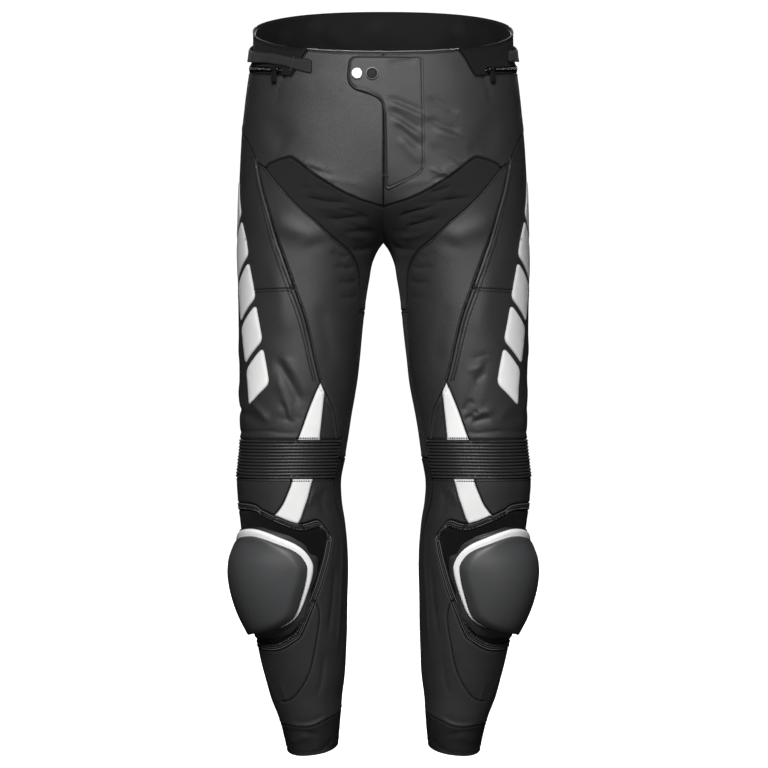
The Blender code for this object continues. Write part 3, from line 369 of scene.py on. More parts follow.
PUCK = (
    *front((164, -672), (130, -684), (112, -694), (103, -707), (102, -718),
    (106, -742), (114, -771), (124, -785), (142, -795), (160, -801)),
    *around((0.42, -806), (0.455, -790), (0.47, -740), (0.462, -710), (0.425, -692),
    (0.37, -677)),
)
BASE_PLATE = (
    *front((159.6, -661.1), (122.5, -672.5), (102.9, -684), (97, -697), (87, -699.5),
    (88, -725), (96, -744.9), (96.9, -758.4), (102.3, -785.4), (110.3, -790),
    (123.7, -804.5), (144, -810.8), (162.1, -811)), *around((0.43, -817), (0.5, -800),
    (0.52, -740), (0.5, -690), (0.43, -668)),
)

# %% [markdown]
# ## Flat lines
# The whole garment is triangulated once, on a flat pattern where the left half has positive distances
# and the right half negative ones. These helpers bend a few places into a smooth curve, divide it
# evenly, and move it sideways.

# %% Curves on the flat pattern
SEAM_STEP, LOOP_STEP, GRID_STEP = 4.5, 3.0, 5.2
SEAM_ROWS = (0.7, 1.8, 4.2)
LOOP_ROWS = (0.7, 1.8)
SAME_PLACE = 1.2


def resample(points, step, closed=False):
    """The same line with even steps."""
    if closed:
        points = np.vstack([points, points[:1]])
    along = np.concatenate([[0], np.cumsum(norm(np.diff(points, axis=0), axis=1))])
    at = np.linspace(0, along[-1], max(1, round(along[-1] / step)) + 1)
    result = np.stack([np.interp(at, along, points[:, k]) for k in (0, 1)], axis=1)
    return result[:-1] if closed else result


def rounded(points, radius, parts=4):
    """A straight-sided outline with its corners rounded."""
    result = []
    n = len(points)
    for i in range(n):
        corner, before, after = points[i], points[i - 1], points[(i + 1) % n]
        a, b = before - corner, after - corner
        la, lb = norm(a), norm(b)
        cut = min(radius, 0.45 * la, 0.45 * lb)
        start, end = corner + a / la * cut, corner + b / lb * cut
        for t in np.linspace(0, 1, parts + 1):
            result.append((1 - t)**2 * start + 2 * t * (1 - t) * corner + t**2 * end)
    return np.array(result)


def length_of(line):
    return norm(np.diff(line, axis=0), axis=1).sum()


def beside(points, distance, closed=False):
    """The line moved to its left by that distance."""
    before = np.roll(points, 1, axis=0) if closed else np.vstack([points[:1], points[:-1]])
    after = np.roll(points, -1, axis=0) if closed else np.vstack([points[1:], points[-1:]])
    along = after - before
    along /= norm(along, axis=1)[:, None]
    return points + distance * np.stack([-along[:, 1], along[:, 0]], axis=1)


def nearest_on(places, line):
    """For each place the nearest point on a line: (gap, stretch of the line, share of that stretch)."""
    a, span = line[:-1], np.diff(line, axis=0)
    t = np.clip(((places[:, None, :] - a) * span).sum(axis=2) / (span**2).sum(axis=1), 0, 1)
    gaps = norm(places[:, None, :] - a - t[..., None] * span, axis=2)
    best = gaps.argmin(axis=1)
    row = np.arange(len(places))
    return gaps[row, best], best, t[row, best]


def distance_to_line(places, line):
    """(distance, share of the length) of each place from a line on the flat pattern."""
    gap, best, t = nearest_on(places, line)
    lengths = norm(np.diff(line, axis=0), axis=1)
    before = np.concatenate([[0], np.cumsum(lengths)[:-1]])
    return gap, (before[best] + t * lengths[best]) / lengths.sum()


def side_of(places, line):
    """+1 for places to the left of a line on the flat pattern, -1 for the others."""
    _, near, _ = nearest_on(places, line)
    span, off = np.diff(line, axis=0)[near], places - line[near]
    return np.sign(span[:, 0] * off[:, 1] - span[:, 1] * off[:, 0])


# %% [markdown]
# A seam that runs into another one has to end exactly on it, or the fill would leak. Each loose end is
# moved to the nearest seam, which gets a point there too.

# %% Seams joined at their ends
NEAR = 0.01


def on_sides(places):
    """Which places are on the pattern's two borders."""
    edge = border(places[:, 1])
    return (places[:, 0] < edge + NEAR) | (places[:, 0] > FLAT_WIDTH - edge - NEAR)


def at_border(place):
    return on_sides(place[None])[0] or place[1] > -NEAR


def join_seams(lines):
    for name in lines:
        for end in (0, -1):
            place = lines[name][end]
            if at_border(place) or place[1] < HEM_LEVEL + NEAR:
                continue
            found = {other: nearest_on(place[None], line) for other, line in lines.items() if other != name}
            other = min(found, key=lambda title: found[title][0])
            points = lines[other]
            _, (i,), (t,) = found[other]
            near = points[i] + t * (points[i + 1] - points[i])
            known = points[norm(points - near, axis=1).argmin()]
            if norm(known - near) < SAME_PLACE:
                near = known
            else:
                lines[other] = np.insert(points, i + 1, near, axis=0)
            lines[name][end] = near
    return lines


def seam_lines():
    lines = {}
    for name, places in SEAMS.items():
        lines[name] = resample(smooth_curve(places) if len(places) > 2 else np.array(places), SEAM_STEP)
    lines["centre_front"][:, 0] = border(lines["centre_front"][:, 1])
    lines["centre_back"][:, 0] = FLAT_WIDTH - border(lines["centre_back"][:, 1])
    edge = np.array(SEAMS["patch_top"] + SEAMS["patch_side"][1:])
    lines["binding"] = resample(smooth_curve(beside(edge, BINDING_WIDTH)), SEAM_STEP)
    lines["binding"][[0, -1], 0] = OUTSEAM * FLAT_WIDTH
    return join_seams(lines)


SEAM_LINES = seam_lines()
print(len(SEAM_LINES), "seams on each half,",
      round(sum(length_of(line) for line in SEAM_LINES.values()) * MM, 1), "m")

# %% [markdown]
# ## Creases
# Worn cloth keeps the folds of its wearer. Each is a soft ridge, or a trough where its height is
# negative, along a few places. Real creases differ from leg to leg, so each has a height on either side.
# They come before the pattern is divided, because the narrow ones need points of their own.

# %% Creases
FRONT_CREASES = (
    # x and z of three places as seen, height on the left, on the right, half width
    # thighs, front
    (143, -434, 123, -468, 105, -503, -0.8, -3.2, 6),
    (131, -431, 111, -465, 94, -494, 0.4, 1.6, 8),
    (175, -493, 159, -511, 148, -525, 0.6, 2.4, 5),
    (188, -500, 170, -518, 159, -536, -0.6, -2.6, 7),
    (140, -463, 129, -487, 118, -523, 0.5, 2.2, 6),
    (135, -494, 128, -507, 124, -525, -0.2, -1.2, 3.5),
    (185, -539, 159, -535, 122, -538, -0.8, -1.2, 3.5),
    (115, -442, 126, -437, 139, -434, -1.0, -0.3, 4),
    (110, -457, 122, -453, 132, -447, 1.2, 0.3, 4),
    (118, -468, 126, -464, 134, -457, -1.2, -0.3, 4),
    (103, -511, 110, -500, 118, -493, -2.2, -0.4, 4),
    (105, -521, 114, -515, 125, -507, -2.4, -0.5, 3.5),
    (113, -525, 126, -520, 142, -517, -2.2, -0.5, 4),
    (113, -516, 129, -510, 145, -508, 2.0, 0.4, 4.5),
    (103, -536, 126, -537, 159, -533, -1.2, -0.6, 4),
    (148, -314, 132, -364, 127, -416, 1.4, 1.8, 12),
    (85, -364, 75, -403, 67, -455, -1.4, -2.0, 10),
    (68, -298, 58, -306, 45, -308, -0.8, -1.6, 4),
    (64, -317, 53, -321, 37, -321, -1.5, -1.8, 4),
    (60, -337, 48, -341, 33, -337, -1.4, -1.6, 4),
    (57, -358, 45, -360, 33, -357, -0.8, -1.4, 4),
    (150, -262, 120, -270, 86, -292, 3.0, 3.4, 16),
    # gusset
    (108, -217, 100, -218, 94, -218, -0.9, -1.8, 4),
    (103, -230, 74, -236, 43, -238, -1.8, -3.3, 4),
    (91, -247, 69, -245, 41, -243, 0.6, 1.8, 4),
    (80, -260, 50, -258, 17, -255, -1.5, -3.6, 4.5),
    (59, -280, 37, -275, 7, -272, -1.2, -2.7, 5),
    (17, -255, 45, -248, 75, -239, -3.6, -1.5, 4),
    (27, -269, 50, -264, 72, -257, -3.3, -1.5, 4),
    (22, -281, 41, -280, 61, -274, 2.2, 1.2, 4.5),
    (58, -225, 74, -221, 90, -217, -2.7, -0.9, 3.5),
    (74, -234, 93, -233, 115, -230, -2.7, -0.9, 3.5),
    (12, -290, 29, -297, 45, -297, -2.2, -2.2, 5),
    # apron
    (2, -101, 28, -110, 55, -123, -1.6, 0, 6.5),
    (3, -108, 32, -119, 61, -133, 1.6, 0, 6.5),
    (6, -115, 29, -132, 54, -146, -1.9, 0, 6.5),
    (11, -127, 35, -145, 55, -158, 1.9, 0, 6.5),
    (14, -135, 37, -157, 55, -171, -1.7, 0, 6.5),
    (19, -152, 37, -172, 53, -188, 1.6, 0, 7.5),
    (58, -126, 76, -137, 102, -144, -1.7, 0.1, 7),
    (61, -144, 89, -152, 121, -168, 2.0, 0.1, 7.5),
    (58, -162, 84, -173, 115, -192, -1.7, 0.1, 7),
    (5, -58, 24, -55, 45, -53, -1.3, 0, 6.5),
    (58, -193, 74, -198, 92, -203, 1.7, 0.4, 4),
    (61, -208, 74, -206, 87, -203, -1.4, 0.4, 4),
    (107, -182, 91, -189, 74, -195, 0.8, 0.8, 4),
    (104, -190, 85, -197, 64, -202, 0.7, -0.7, 4),
    (85, -203, 56, -210, 22, -214, 0.7, 0.7, 6),
    (150, -118, 136, -150, 122, -165, -1.6, -2.0, 18),
    (54, -100, 77, -110, 98, -122, -1.3, 0, 7.5),
    # shins and cuffs
    (74, -609, 81, -625, 75, -652, -1.2, -1.6, 6),
    (86, -608, 93, -620, 99, -636, 1.0, 1.2, 4),
    (64, -706, 67, -760, 74, -814, -1.4, -1.8, 5),
    (54, -654, 56, -734, 62, -842, 1.2, 1.6, 4),
    (78, -827, 82, -868, 90, -895, -1.0, -1.4, 6),
    (128, -902, 133, -888, 138, -869, 0.6, 1.0, 6),
    (123, -927, 98, -926, 77, -916, -0.8, -1.0, 4),
    (126, -956, 106, -948, 96, -953, 0.9, 1.3, 4),
    (128, -943, 112, -939, 82, -945, -1.1, -1.3, 4),
    (90, -967, 77, -962, 66, -950, -1.0, -1.4, 4),
)
SIDE_CREASES = (
    # the same on the sides and the back, by share of the way round and level
    (0.44, -800, 0.46, -870, 0.5, -985, 2.6, 2.6, 40),
    (0.45, -470, 0.36, -505, 0.3, -530, 1.0, 1.4, 10),
    (0.52, -390, 0.47, -420, 0.42, -440, 1.0, 0.8, 10),
    (0.82, -250, 0.72, -282, 0.62, -300, 4.0, 3.5, 18),
    (0.93, -268, 0.84, -300, 0.7, -318, -3.0, -2.6, 9),
    (0.84, -405, 0.74, -420, 0.64, -418, 2.2, 1.6, 9),
    (0.8, -480, 0.7, -505, 0.6, -520, 4.0, 5.0, 15),
    (0.82, -515, 0.72, -528, 0.62, -540, -2.6, -3.0, 7),
    (0.82, -540, 0.7, -552, 0.6, -556, 5.0, 4.0, 10),
    (0.84, -562, 0.74, -566, 0.64, -562, -2.8, -2.2, 7),
    (0.84, -590, 0.7, -600, 0.6, -600, 4.0, 4.5, 11),
    (0.82, -618, 0.72, -628, 0.64, -640, -2.4, -2.0, 8),
    (0.8, -690, 0.72, -712, 0.64, -720, 2.0, 2.8, 12),
    (0.82, -830, 0.7, -815, 0.6, -812, 3.5, 3.0, 15),
    (0.84, -866, 0.74, -858, 0.62, -862, -2.0, -2.6, 9),
    (0.9, -940, 0.8, -936, 0.66, -942, -1.2, -1.6, 5),
    (0.95, -110, 0.84, -132, 0.72, -138, 1.6, 1.2, 12),
    (0.97, -190, 0.88, -216, 0.76, -226, 2.2, 2.6, 13),
    (0.62, -96, 0.7, -116, 0.74, -140, -1.4, -1.8, 10),
)
CREASES = [(placed(*zip(row[:6:2], row[1:6:2])), *row[6:])
           for placed, table in ((front, FRONT_CREASES), (around, SIDE_CREASES)) for row in table]
NARROW = 8

# %% [markdown]
# ## The pattern
# Blender's constrained Delaunay function turns lines and loose points into triangles that never cross a
# line. The seams are its lines. Beside each seam lie rows of loose points, so that the cloth has the
# resolution to roll over there; the ribs of the knee have a lattice of their own; an even grid fills the
# rest. The right half uses the same triangles, mirrored.

# %% Points of the pattern
RIB_COUNT = 12
RIB_PITCH = (KNEE_TOP - KNEE_LOW) / RIB_COUNT
RIB_ROWS = 8
RIB_STEP = 5.6
CLEAR_OF_SEAMS, CLEAR_OF_GRID = 0.55, 2.8
LAPPED = ("diagonal",)  # its outer panel is folded over the inner one
LAP_WIDTH = 5.0
LAP_ROWS = (0.35, 1.3, 2.5, 3.7, 4.5, 5.0, 5.5)
RIDGES_AT, RIDGE_WIDTH = (2.0, 4.7, 7.4), 0.75  # the binding's three ridges, from its outer edge
RIDGE_ROWS = (1.3, 2.0, 2.7, 3.35, 4.0, 4.7, 5.4, 6.05, 6.7, 7.4, 8.1, 9.2)


def far_apart(groups):
    """All the points of the groups, in order, without those too near an earlier one."""
    cells, kept = {}, []
    for points, reach in groups:
        for x, y in points:
            i, j = int(x // 4), int(y // 4)
            near = (p for a in (i - 1, i, i + 1) for b in (j - 1, j, j + 1) for p in cells.get((a, b), ()))
            if reach and any((x - px)**2 + (y - py)**2 < reach * reach for px, py in near):
                continue
            cells.setdefault((i, j), []).append((x, y))
            kept.append((x, y))
    return np.array(kept)


def staggered(step, low, high):
    """An even grid of points between two corners, every other row moved by half a step."""
    rows = np.arange(low[1] + step / 2, high[1], step * 0.87)
    return np.array([(x, y) for k, y in enumerate(rows)
                     for x in np.arange(low[0] + step * (0.25 + 0.5 * (k % 2)), high[0], step)])


def rib_lattice():
    across = np.arange(RIB_STEP / 2, OUTSEAM * FLAT_WIDTH, RIB_STEP)
    rows = KNEE_TOP - RIB_PITCH / RIB_ROWS * np.arange(1, RIB_COUNT * RIB_ROWS)
    return np.array([(x + RIB_STEP / 2 * (k % 2), y) for k, y in enumerate(rows) for x in across])

# %% The pattern's lines
def border_levels():
    """Heights of the points on both upright borders, so that they can be joined to each other."""
    met = np.vstack(list(SEAM_LINES.values()))
    fixed = sorted({round(float(v), 3) for v in met[on_sides(met), 1]} | {0.0, HEM_LEVEL, CROTCH_LEVEL})
    at = np.concatenate([np.arange(0, CROTCH_LEVEL, -0.25), np.arange(CROTCH_LEVEL, HEM_LEVEL, -1.0)])
    evenly = resample(np.stack([border(at), at], axis=1), SEAM_STEP)
    known = np.stack([border(fixed), fixed], axis=1)
    free = [place[1] for place in evenly if norm(known - place, axis=1).min() > SEAM_STEP / 2]
    return np.array(sorted(fixed + free))


def pattern_points():
    levels = border_levels()
    lines = dict(SEAM_LINES)
    lines["border_front"] = np.stack([border(levels), levels], axis=1)
    lines["border_back"] = np.stack([FLAT_WIDTH - border(levels), levels], axis=1)
    for name, level in (("waist_edge", 0.0), ("hem_edge", HEM_LEVEL)):
        ends = [float(border(level)), FLAT_WIDTH - float(border(level))]
        met = [x for points in SEAM_LINES.values() for x, y in points if abs(y - level) < NEAR] + ends
        free = [x for x in np.arange(*ends, SEAM_STEP) if min(abs(x - m) for m in met) > SEAM_STEP / 2]
        at = np.array(sorted(met + free))
        at = at[np.concatenate([[True], np.diff(at) > NEAR])]
        lines[name] = np.stack([at, np.full_like(at, level)], axis=1)
    # rounded, so that lines that share a point agree on it
    return {name: np.round(points, 3) + 0.0 for name, points in lines.items()}


PATTERN_LINES = pattern_points()
rows = []
for name, points in PATTERN_LINES.items():
    if "border" in name:
        continue
    if name in LAPPED:
        rows += [beside(points, distance) for distance in LAP_ROWS]
    for distance in SEAM_ROWS:
        rows += [beside(points, distance), beside(points, -distance)]
    if name in ("patch_top", "patch_side"):
        rows += [beside(points, distance) for distance in RIDGE_ROWS]
for route, _, _, half_width in CREASES:
    if half_width < NARROW:
        line = resample(smooth_curve(route, parts=6), 3.0)
        rows += [beside(line, half_width * share) for share in (0, 0.5, -0.5, 1, -1)]
rows = np.vstack(rows)

# %% Loose points between the lines
def inside(places, margin):
    edge = border(places[:, 1]) + margin
    return ((places[:, 0] > edge) & (places[:, 0] < FLAT_WIDTH - edge) & (places[:, 1] < -margin)
            & (places[:, 1] > HEM_LEVEL + margin))


rows = rows[inside(rows, 0.4)]
grid = staggered(GRID_STEP, (0, HEM_LEVEL), (FLAT_WIDTH, 0))
grid = grid[inside(grid, 2.0)]
seam_points = np.vstack(list(PATTERN_LINES.values()))
loose = far_apart([(seam_points, 0), (rows, CLEAR_OF_SEAMS), (rib_lattice(), 0.6),
                   (grid, CLEAR_OF_GRID)])[len(seam_points):]
print(len(seam_points), "points on seams and", len(loose), "between them")

# %% Triangles of the left half
STOP_LINES = set(SEAMS) | {"binding", "waist_edge", "hem_edge"}


def turned_up(flat, triangles):
    """The triangles counter-clockwise, and twice the area of each."""
    a, b, c = (flat[triangles[:, k]] for k in range(3))
    area = (b[:, 0] - a[:, 0]) * (c[:, 1] - a[:, 1]) - (b[:, 1] - a[:, 1]) * (c[:, 0] - a[:, 0])
    return np.where(area[:, None] < 0, triangles[:, ::-1], triangles), np.abs(area)


def triangulate():
    """(flat points, triangles, edges that lie on a seam), with faces counter-clockwise."""
    vertices, edges, names = [], [], []
    for name, points in PATTERN_LINES.items():
        first = len(vertices)
        vertices += [Vector(p) for p in points]
        edges += [(first + k, first + k + 1) for k in range(len(points) - 1)]
        names += [name] * (len(points) - 1)
    vertices += [Vector(p) for p in loose]
    flat, flat_edges, faces, _, sources, _ = delaunay_2d_cdt(vertices, edges, [], 0, 0.01)
    flat = np.array([tuple(p) for p in flat])
    triangles, area = turned_up(flat, np.array(faces))
    triangles = triangles[(area > 1e-4) & inside(flat[triangles].mean(axis=1), 0)]
    cut = {tuple(sorted(edge)): {names[k] for k in source if k < len(names)}
           for edge, source in zip(flat_edges, sources)}
    return flat, triangles, {edge: found for edge, found in cut.items() if found & STOP_LINES}


FLAT, TRIANGLES, CUT_EDGES = triangulate()
print(len(FLAT), "points,", len(TRIANGLES), "triangles,", len(CUT_EDGES), "edges on seams")

# %% [markdown]
# A flat pattern has two upright borders that are one line on the body: below the crotch the leg is a
# tube. Points at the same place get one shared number, and the right half repeats the left one's numbers,
# apart from the points on the middle plane, which both halves share.

# %% Joined points and outward directions
def joined_numbers():
    """The shared number of each flat point, and the flat point that stands for each number."""
    known, number, stands_for = {}, [], []
    for x, level in FLAT:
        tube = level <= CROTCH_LEVEL + 1e-3
        key = (0.0 if tube and x > FLAT_WIDTH - 1e-3 else round(x, 3), round(level, 3))
        if key not in known:
            known[key] = len(known)
            stands_for.append(len(number))
        number.append(known[key])
    return np.array(number), np.array(stands_for)


NUMBER, STANDS_FOR = joined_numbers()
OWN_PLACES = FLAT[STANDS_FOR]
BASE = cloth_points(*OWN_PLACES.T)
JOINED = NUMBER[TRIANGLES]
COUNT = len(BASE)
MIDDLE = on_sides(OWN_PLACES) & (OWN_PLACES[:, 1] > CROTCH_LEVEL - NEAR)
BASE[MIDDLE, 0] = 0.0


def point_normals(points, triangles):
    a, b, c = (points[triangles[:, k]] for k in range(3))
    across = np.cross(b - a, c - a)
    normals = np.zeros_like(points)
    for k in range(3):
        np.add.at(normals, triangles[:, k], across)
    return normals


def unit(vectors):
    return vectors / np.maximum(norm(vectors, axis=-1, keepdims=True), 1e-9)


NORMALS = point_normals(BASE, JOINED)
NORMALS[MIDDLE, 0] = 0.0
NORMALS = unit(NORMALS)
print(COUNT, "points on the left half,", int(MIDDLE.sum()), "of them on the middle plane")

# %% [markdown]
# ## Relief
# The cloth's small shape is a height over the form, added along its outward direction. It has a slow
# part, the creases and the unevenness of worn leather, which the inside follows too, and a fine part on
# the outside alone: the roll beside each seam and the ribs over the knees.

# %% The height of the creases
CREASE_FALL = 1.6


def near_line(places, line, reach):
    """Which places lie in the box round a line, with that reach."""
    low, high = line.min(axis=0) - reach, line.max(axis=0) + reach
    return np.flatnonzero(((places > low) & (places < high)).all(axis=1))


def crease_height(places, side):
    """How far the creases lift the cloth at places of the left half's pattern."""
    height = np.zeros(len(places))
    for route, left, right, half_width in CREASES:
        line = smooth_curve(route, parts=6) if len(route) > 2 else np.array(route)
        near = near_line(places, line, 2.5 * half_width)
        if not len(near):
            continue
        gap, share = distance_to_line(places[near], line)
        fall = np.exp(-CREASE_FALL * (gap / half_width)**2)
        height[near] += (left if side > 0 else right) * fall * eased(4 * np.minimum(share, 1 - share))
    return height


SLOW_NOISE = ((0.0075, 1.2), (0.018, 0.6), (0.05, 0.16))  # waves per millimetre, height


def slow_noise(points):
    """The unevenness of worn leather: three layers of smooth noise in space."""
    return np.array([sum(high * noise.noise(Vector(point) * often) for often, high in SLOW_NOISE)
                     for point in points])


# %% Rolled seams and ribs
ROLL_DEPTH, ROLL_WIDTH = 0.8, 0.85
PUFF_HEIGHT, PUFF_AT, PUFF_WIDTH = 0.3, 3.2, 1.6
RIB_HEIGHT, GROOVE_SHADE = 1.9, 0.5
FLATTER = {"cross": 0.45, "tongue": 0.6, "outseam": 0.8, "centre_back": 0.8, "ribs_top": 0.7,
           "ribs_low": 0.7, "cuff_seam": 0.75, "waist_low": 0.8, "waist_edge": -0.9, "hem_edge": -0.6,
           "diagonal": 1.25}  # seams that are pressed flat, turned edges that stand out


def dense_line(points, closed=False):
    return resample(points, 0.7, closed)


def points_on_line(line):
    return cloth_points(*line.T)


def tree_of(points):
    tree = kdtree.KDTree(len(points))
    for k, point in enumerate(points):
        tree.insert(point, k)
    tree.balance()
    return tree


def gaps_to(tree, points):
    return np.array([tree.find(point)[2] for point in points])


seam_points, SEAM_DEPTHS = [], []
for name, line in PATTERN_LINES.items():
    if "border" not in name:
        dense = points_on_line(dense_line(line))
        seam_points.append(dense)
        SEAM_DEPTHS += [FLATTER.get(name, 1.0)] * len(dense)
SEAM_TREE = tree_of(np.vstack(seam_points))


def to_seams(points):
    """How far the nearest seam is from each point, and how deep that one is."""
    found = [SEAM_TREE.find(point) for point in points]
    return np.array([f[2] for f in found]), np.array([SEAM_DEPTHS[f[1]] for f in found])


TO_SEAM, DEPTH = to_seams(BASE)


def rolled(gap, depth):
    """The height beside a seam: down into it, and a slight swell where the allowance lies beneath."""
    return depth * (PUFF_HEIGHT * bell(gap, PUFF_WIDTH, PUFF_AT) - ROLL_DEPTH * bell(gap, ROLL_WIDTH))

# %% The lap, the binding's ridges and the darts
LAP_HEIGHT, LAP_GROOVE, GROOVE_AT, GROOVE_WIDTH = 1.5, 0.5, 0.4, 0.6  # a groove just past the lap


def lapped(places, points):
    """The rounded fold along the lapped seams, on their outer side."""
    height = np.zeros(len(places))
    for name in LAPPED:
        line = PATTERN_LINES[name]
        near = near_line(places, line, 8.0)
        if not len(near):
            continue
        gap = gaps_to(tree_of(points_on_line(dense_line(line))), points[near])
        outer = side_of(places[near], line) > 0
        across = np.clip(1 - np.abs(gap / LAP_WIDTH * 2 - 1)**3, 0, 1)
        fold = LAP_HEIGHT * np.sqrt(across) - LAP_GROOVE * bell(gap - LAP_WIDTH, GROOVE_WIDTH, GROOVE_AT)
        height[near] += np.where(outer, fold, 0.0)
    return height


RIDGE_HEIGHT = 1.3


def bound(places):
    """How near to the top of one of the three ridges of the knee patch's binding, from 0 to 1."""
    edge = np.vstack([PATTERN_LINES["patch_top"], PATTERN_LINES["patch_side"][1:]])
    near = near_line(places, edge, BINDING_WIDTH + 4)
    ridge = np.zeros(len(places))
    if len(near):
        gap, _ = distance_to_line(places[near], edge)
        inner = (side_of(places[near], edge) > 0) & (gap < BINDING_WIDTH)
        waves = sum(bell(gap, RIDGE_WIDTH, at) for at in RIDGES_AT)
        ridge[near] = np.where(inner, waves, 0.0)
    return ridge


DART = smooth_curve(front((127, -66), (136, -84), (141, -104)), parts=6)
DART_DEPTH, DART_WIDTH = 1.5, 1.7


def darted(places):
    """The short seam below each hip zip, drawn as a furrow."""
    height = np.zeros(len(places))
    near = near_line(places, DART, 8.0)
    height[near] = -DART_DEPTH * bell(distance_to_line(places[near], DART)[0], DART_WIDTH)
    return height

# %% Puckers and ribs
PUCKERED = ("apron_low", "hip", "inner_back", "knee_back", "gusset_low_front", "gusset_low_back")
PUCKER_REACH, PUCKER_WAVE, PUCKER_HEIGHT = 9.0, 7.0, 0.35


def puckered(places):
    """Small waves that the stretch cloth's sewing pulls up, dying away from the seam."""
    height = np.zeros(len(places))
    for name in PUCKERED:
        line = PATTERN_LINES[name]
        near = near_line(places, line, 2 * PUCKER_REACH)
        if len(near):
            gap, share = distance_to_line(places[near], line)
            along = share * length_of(line)
            wave = np.sin(2 * math.pi * along / PUCKER_WAVE + 1.3 * np.sin(along / 23.0))
            height[near] += PUCKER_HEIGHT * wave * np.exp(-gap / PUCKER_REACH) * (gap > 0.5)
    return height


def ribbed(places):
    """(height of the knee's ribs, how much painted shade the grooves between them get), zero outside that
    panel.
    """
    row = (KNEE_TOP - places[:, 1]) / RIB_PITCH
    inside = (row > 0) & (row < RIB_COUNT) & (places[:, 0] < OUTSEAM * FLAT_WIDTH)
    sway = 0.05 * np.sin(places[:, 0] / 31.0) * np.clip(np.minimum(row, RIB_COUNT - row), 0, 1)
    wave = 0.5 - 0.5 * np.cos(2 * math.pi * (row + sway))
    each = 0.9 + 0.1 * np.sin(1.7 * np.floor(row) + places[:, 0] / 47.0)
    return (np.where(inside, RIB_HEIGHT * each * wave**0.6, 0.0),
            np.where(inside, np.exp(-wave / GROOVE_SHADE), 0.0))

# %% The relief added up
RIBS, RIB_GROOVE_SHADE = ribbed(OWN_PLACES)
RIDGES = bound(OWN_PLACES)
DARTED = darted(OWN_PLACES)
FINE = (rolled(TO_SEAM, DEPTH) + RIBS + lapped(OWN_PLACES, BASE) + RIDGE_HEIGHT * RIDGES + DARTED
        + puckered(OWN_PLACES))
SLOW = {side: crease_height(OWN_PLACES, side) + slow_noise(BASE * (side, 1, 1)) for side in (1, -1)}
SLOW[1][MIDDLE] = SLOW[-1][MIDDLE] = (SLOW[1][MIDDLE] + SLOW[-1][MIDDLE]) / 2
# painted shade that the finishes lay into the seams, the darts and the grooves between ribs
SHADE = np.maximum(np.exp(-TO_SEAM / 4.0) * np.clip(0.4 + 0.6 * DEPTH, 0, 1), RIB_GROOVE_SHADE)
SHADE = np.maximum(SHADE, -DARTED / DART_DEPTH)
print("slow relief", round(SLOW[1].min(), 1), "to", round(SLOW[1].max(), 1), "mm")

# %% [markdown]
# ## Panels
# Filling out from a panel's named place to the seams gives its triangles. Its edge is then drawn in by
# half the width of a seam, and the piece gets an inside 2 mm under the form and a narrow rim between.

# %% Filling out the panels
def neighbours():
    """For each triangle, those across its edges that no seam cuts."""
    edges = {}
    for t, corners in enumerate(TRIANGLES):
        for k in range(3):
            a, b = corners[k], corners[(k + 1) % 3]
            if tuple(sorted((a, b))) in CUT_EDGES:
                continue
            edges.setdefault(tuple(sorted((NUMBER[a], NUMBER[b]))), []).append(t)
    found = [[] for _ in TRIANGLES]
    for pair in edges.values():
        if len(pair) == 2:
            found[pair[0]].append(pair[1])
            found[pair[1]].append(pair[0])
    return found


NEIGHBOURS = neighbours()
CENTRES = FLAT[TRIANGLES].mean(axis=1)


def filled(share, level):
    """The triangles of the panel that holds that place."""
    place = np.array(about(share, level))
    near = np.argsort(((CENTRES - place)**2).sum(axis=1))[:12]
    start = None
    for t in near:
        a, b, c = FLAT[TRIANGLES[t]]
        turns = [(q[0] - p[0]) * (place[1] - p[1]) - (q[1] - p[1]) * (place[0] - p[0])
                 for p, q in ((a, b), (b, c), (c, a))]
        if min(turns) >= 0:
            start = t
            break
    found, waiting = {start}, [start]
    while waiting:
        for other in NEIGHBOURS[waiting.pop()]:
            if other not in found:
                found.add(other)
                waiting.append(other)
    return np.array(sorted(found))


# %% A panel as a closed wall
SEAM_GAP = 0.3
SEAM_SPREAD = 0.12
LEAST_SHARE = 0.24


def drawn_in(points, normals, rim):
    """How each point moves along the cloth so that the piece ends a millimetre inside its seams."""
    along = points[rim[:, 1]] - points[rim[:, 0]]
    total = np.zeros_like(points)
    for k in (0, 1):
        np.add.at(total, rim[:, k], unit(np.cross(normals[rim[:, k]], along)))
    size = (total**2).sum(axis=1)
    return np.where(size[:, None] > 0, 2 * total / np.maximum(size, LEAST_SHARE)[:, None], 0.0)


def rim_of(triangles):
    """The edges that only one triangle has, in its own direction."""
    edges = np.vstack([triangles[:, [0, 1]], triangles[:, [1, 2]], triangles[:, [2, 0]]])
    keys = np.sort(edges, axis=1)
    _, first, counts = np.unique(keys, axis=0, return_index=True, return_counts=True)
    return edges[first[counts == 1]]


def closed_wall(points, normals, triangles, upper, lower, gap=SEAM_GAP / 2, spread=SEAM_SPREAD):
    """(points, faces) of a wall between two heights, whose inside reaches past the seam to its neighbour."""
    rim = rim_of(triangles)
    moves = drawn_in(points, normals, rim)
    outside = points + moves * gap + normals * upper[:, None]
    inside = points - moves * spread + normals * lower[:, None]
    n = len(points)
    faces = [triangles, triangles[:, ::-1] + n,
             np.stack([rim[:, 1], rim[:, 0], rim[:, 0] + n], axis=1),
             np.stack([rim[:, 1], rim[:, 0] + n, rim[:, 1] + n], axis=1)]
    return np.vstack([outside, inside]), np.vstack(faces)


def metric(flat, side):
    """Flat places as real millimetres round and along the leg, for patterns on the cloth."""
    return np.stack([side * (flat[:, 0] - FLAT_WIDTH / 2) / at_level(SCALES, flat[:, 1]), flat[:, 1]], axis=1)

# %% A mesh from points
PIECES = {}
BOTH_SIDES = {1: "left", -1: "right"}


def new_object(name, data):
    made = bpy.data.objects.new(name, data)
    bpy.context.scene.collection.objects.link(made)
    return made


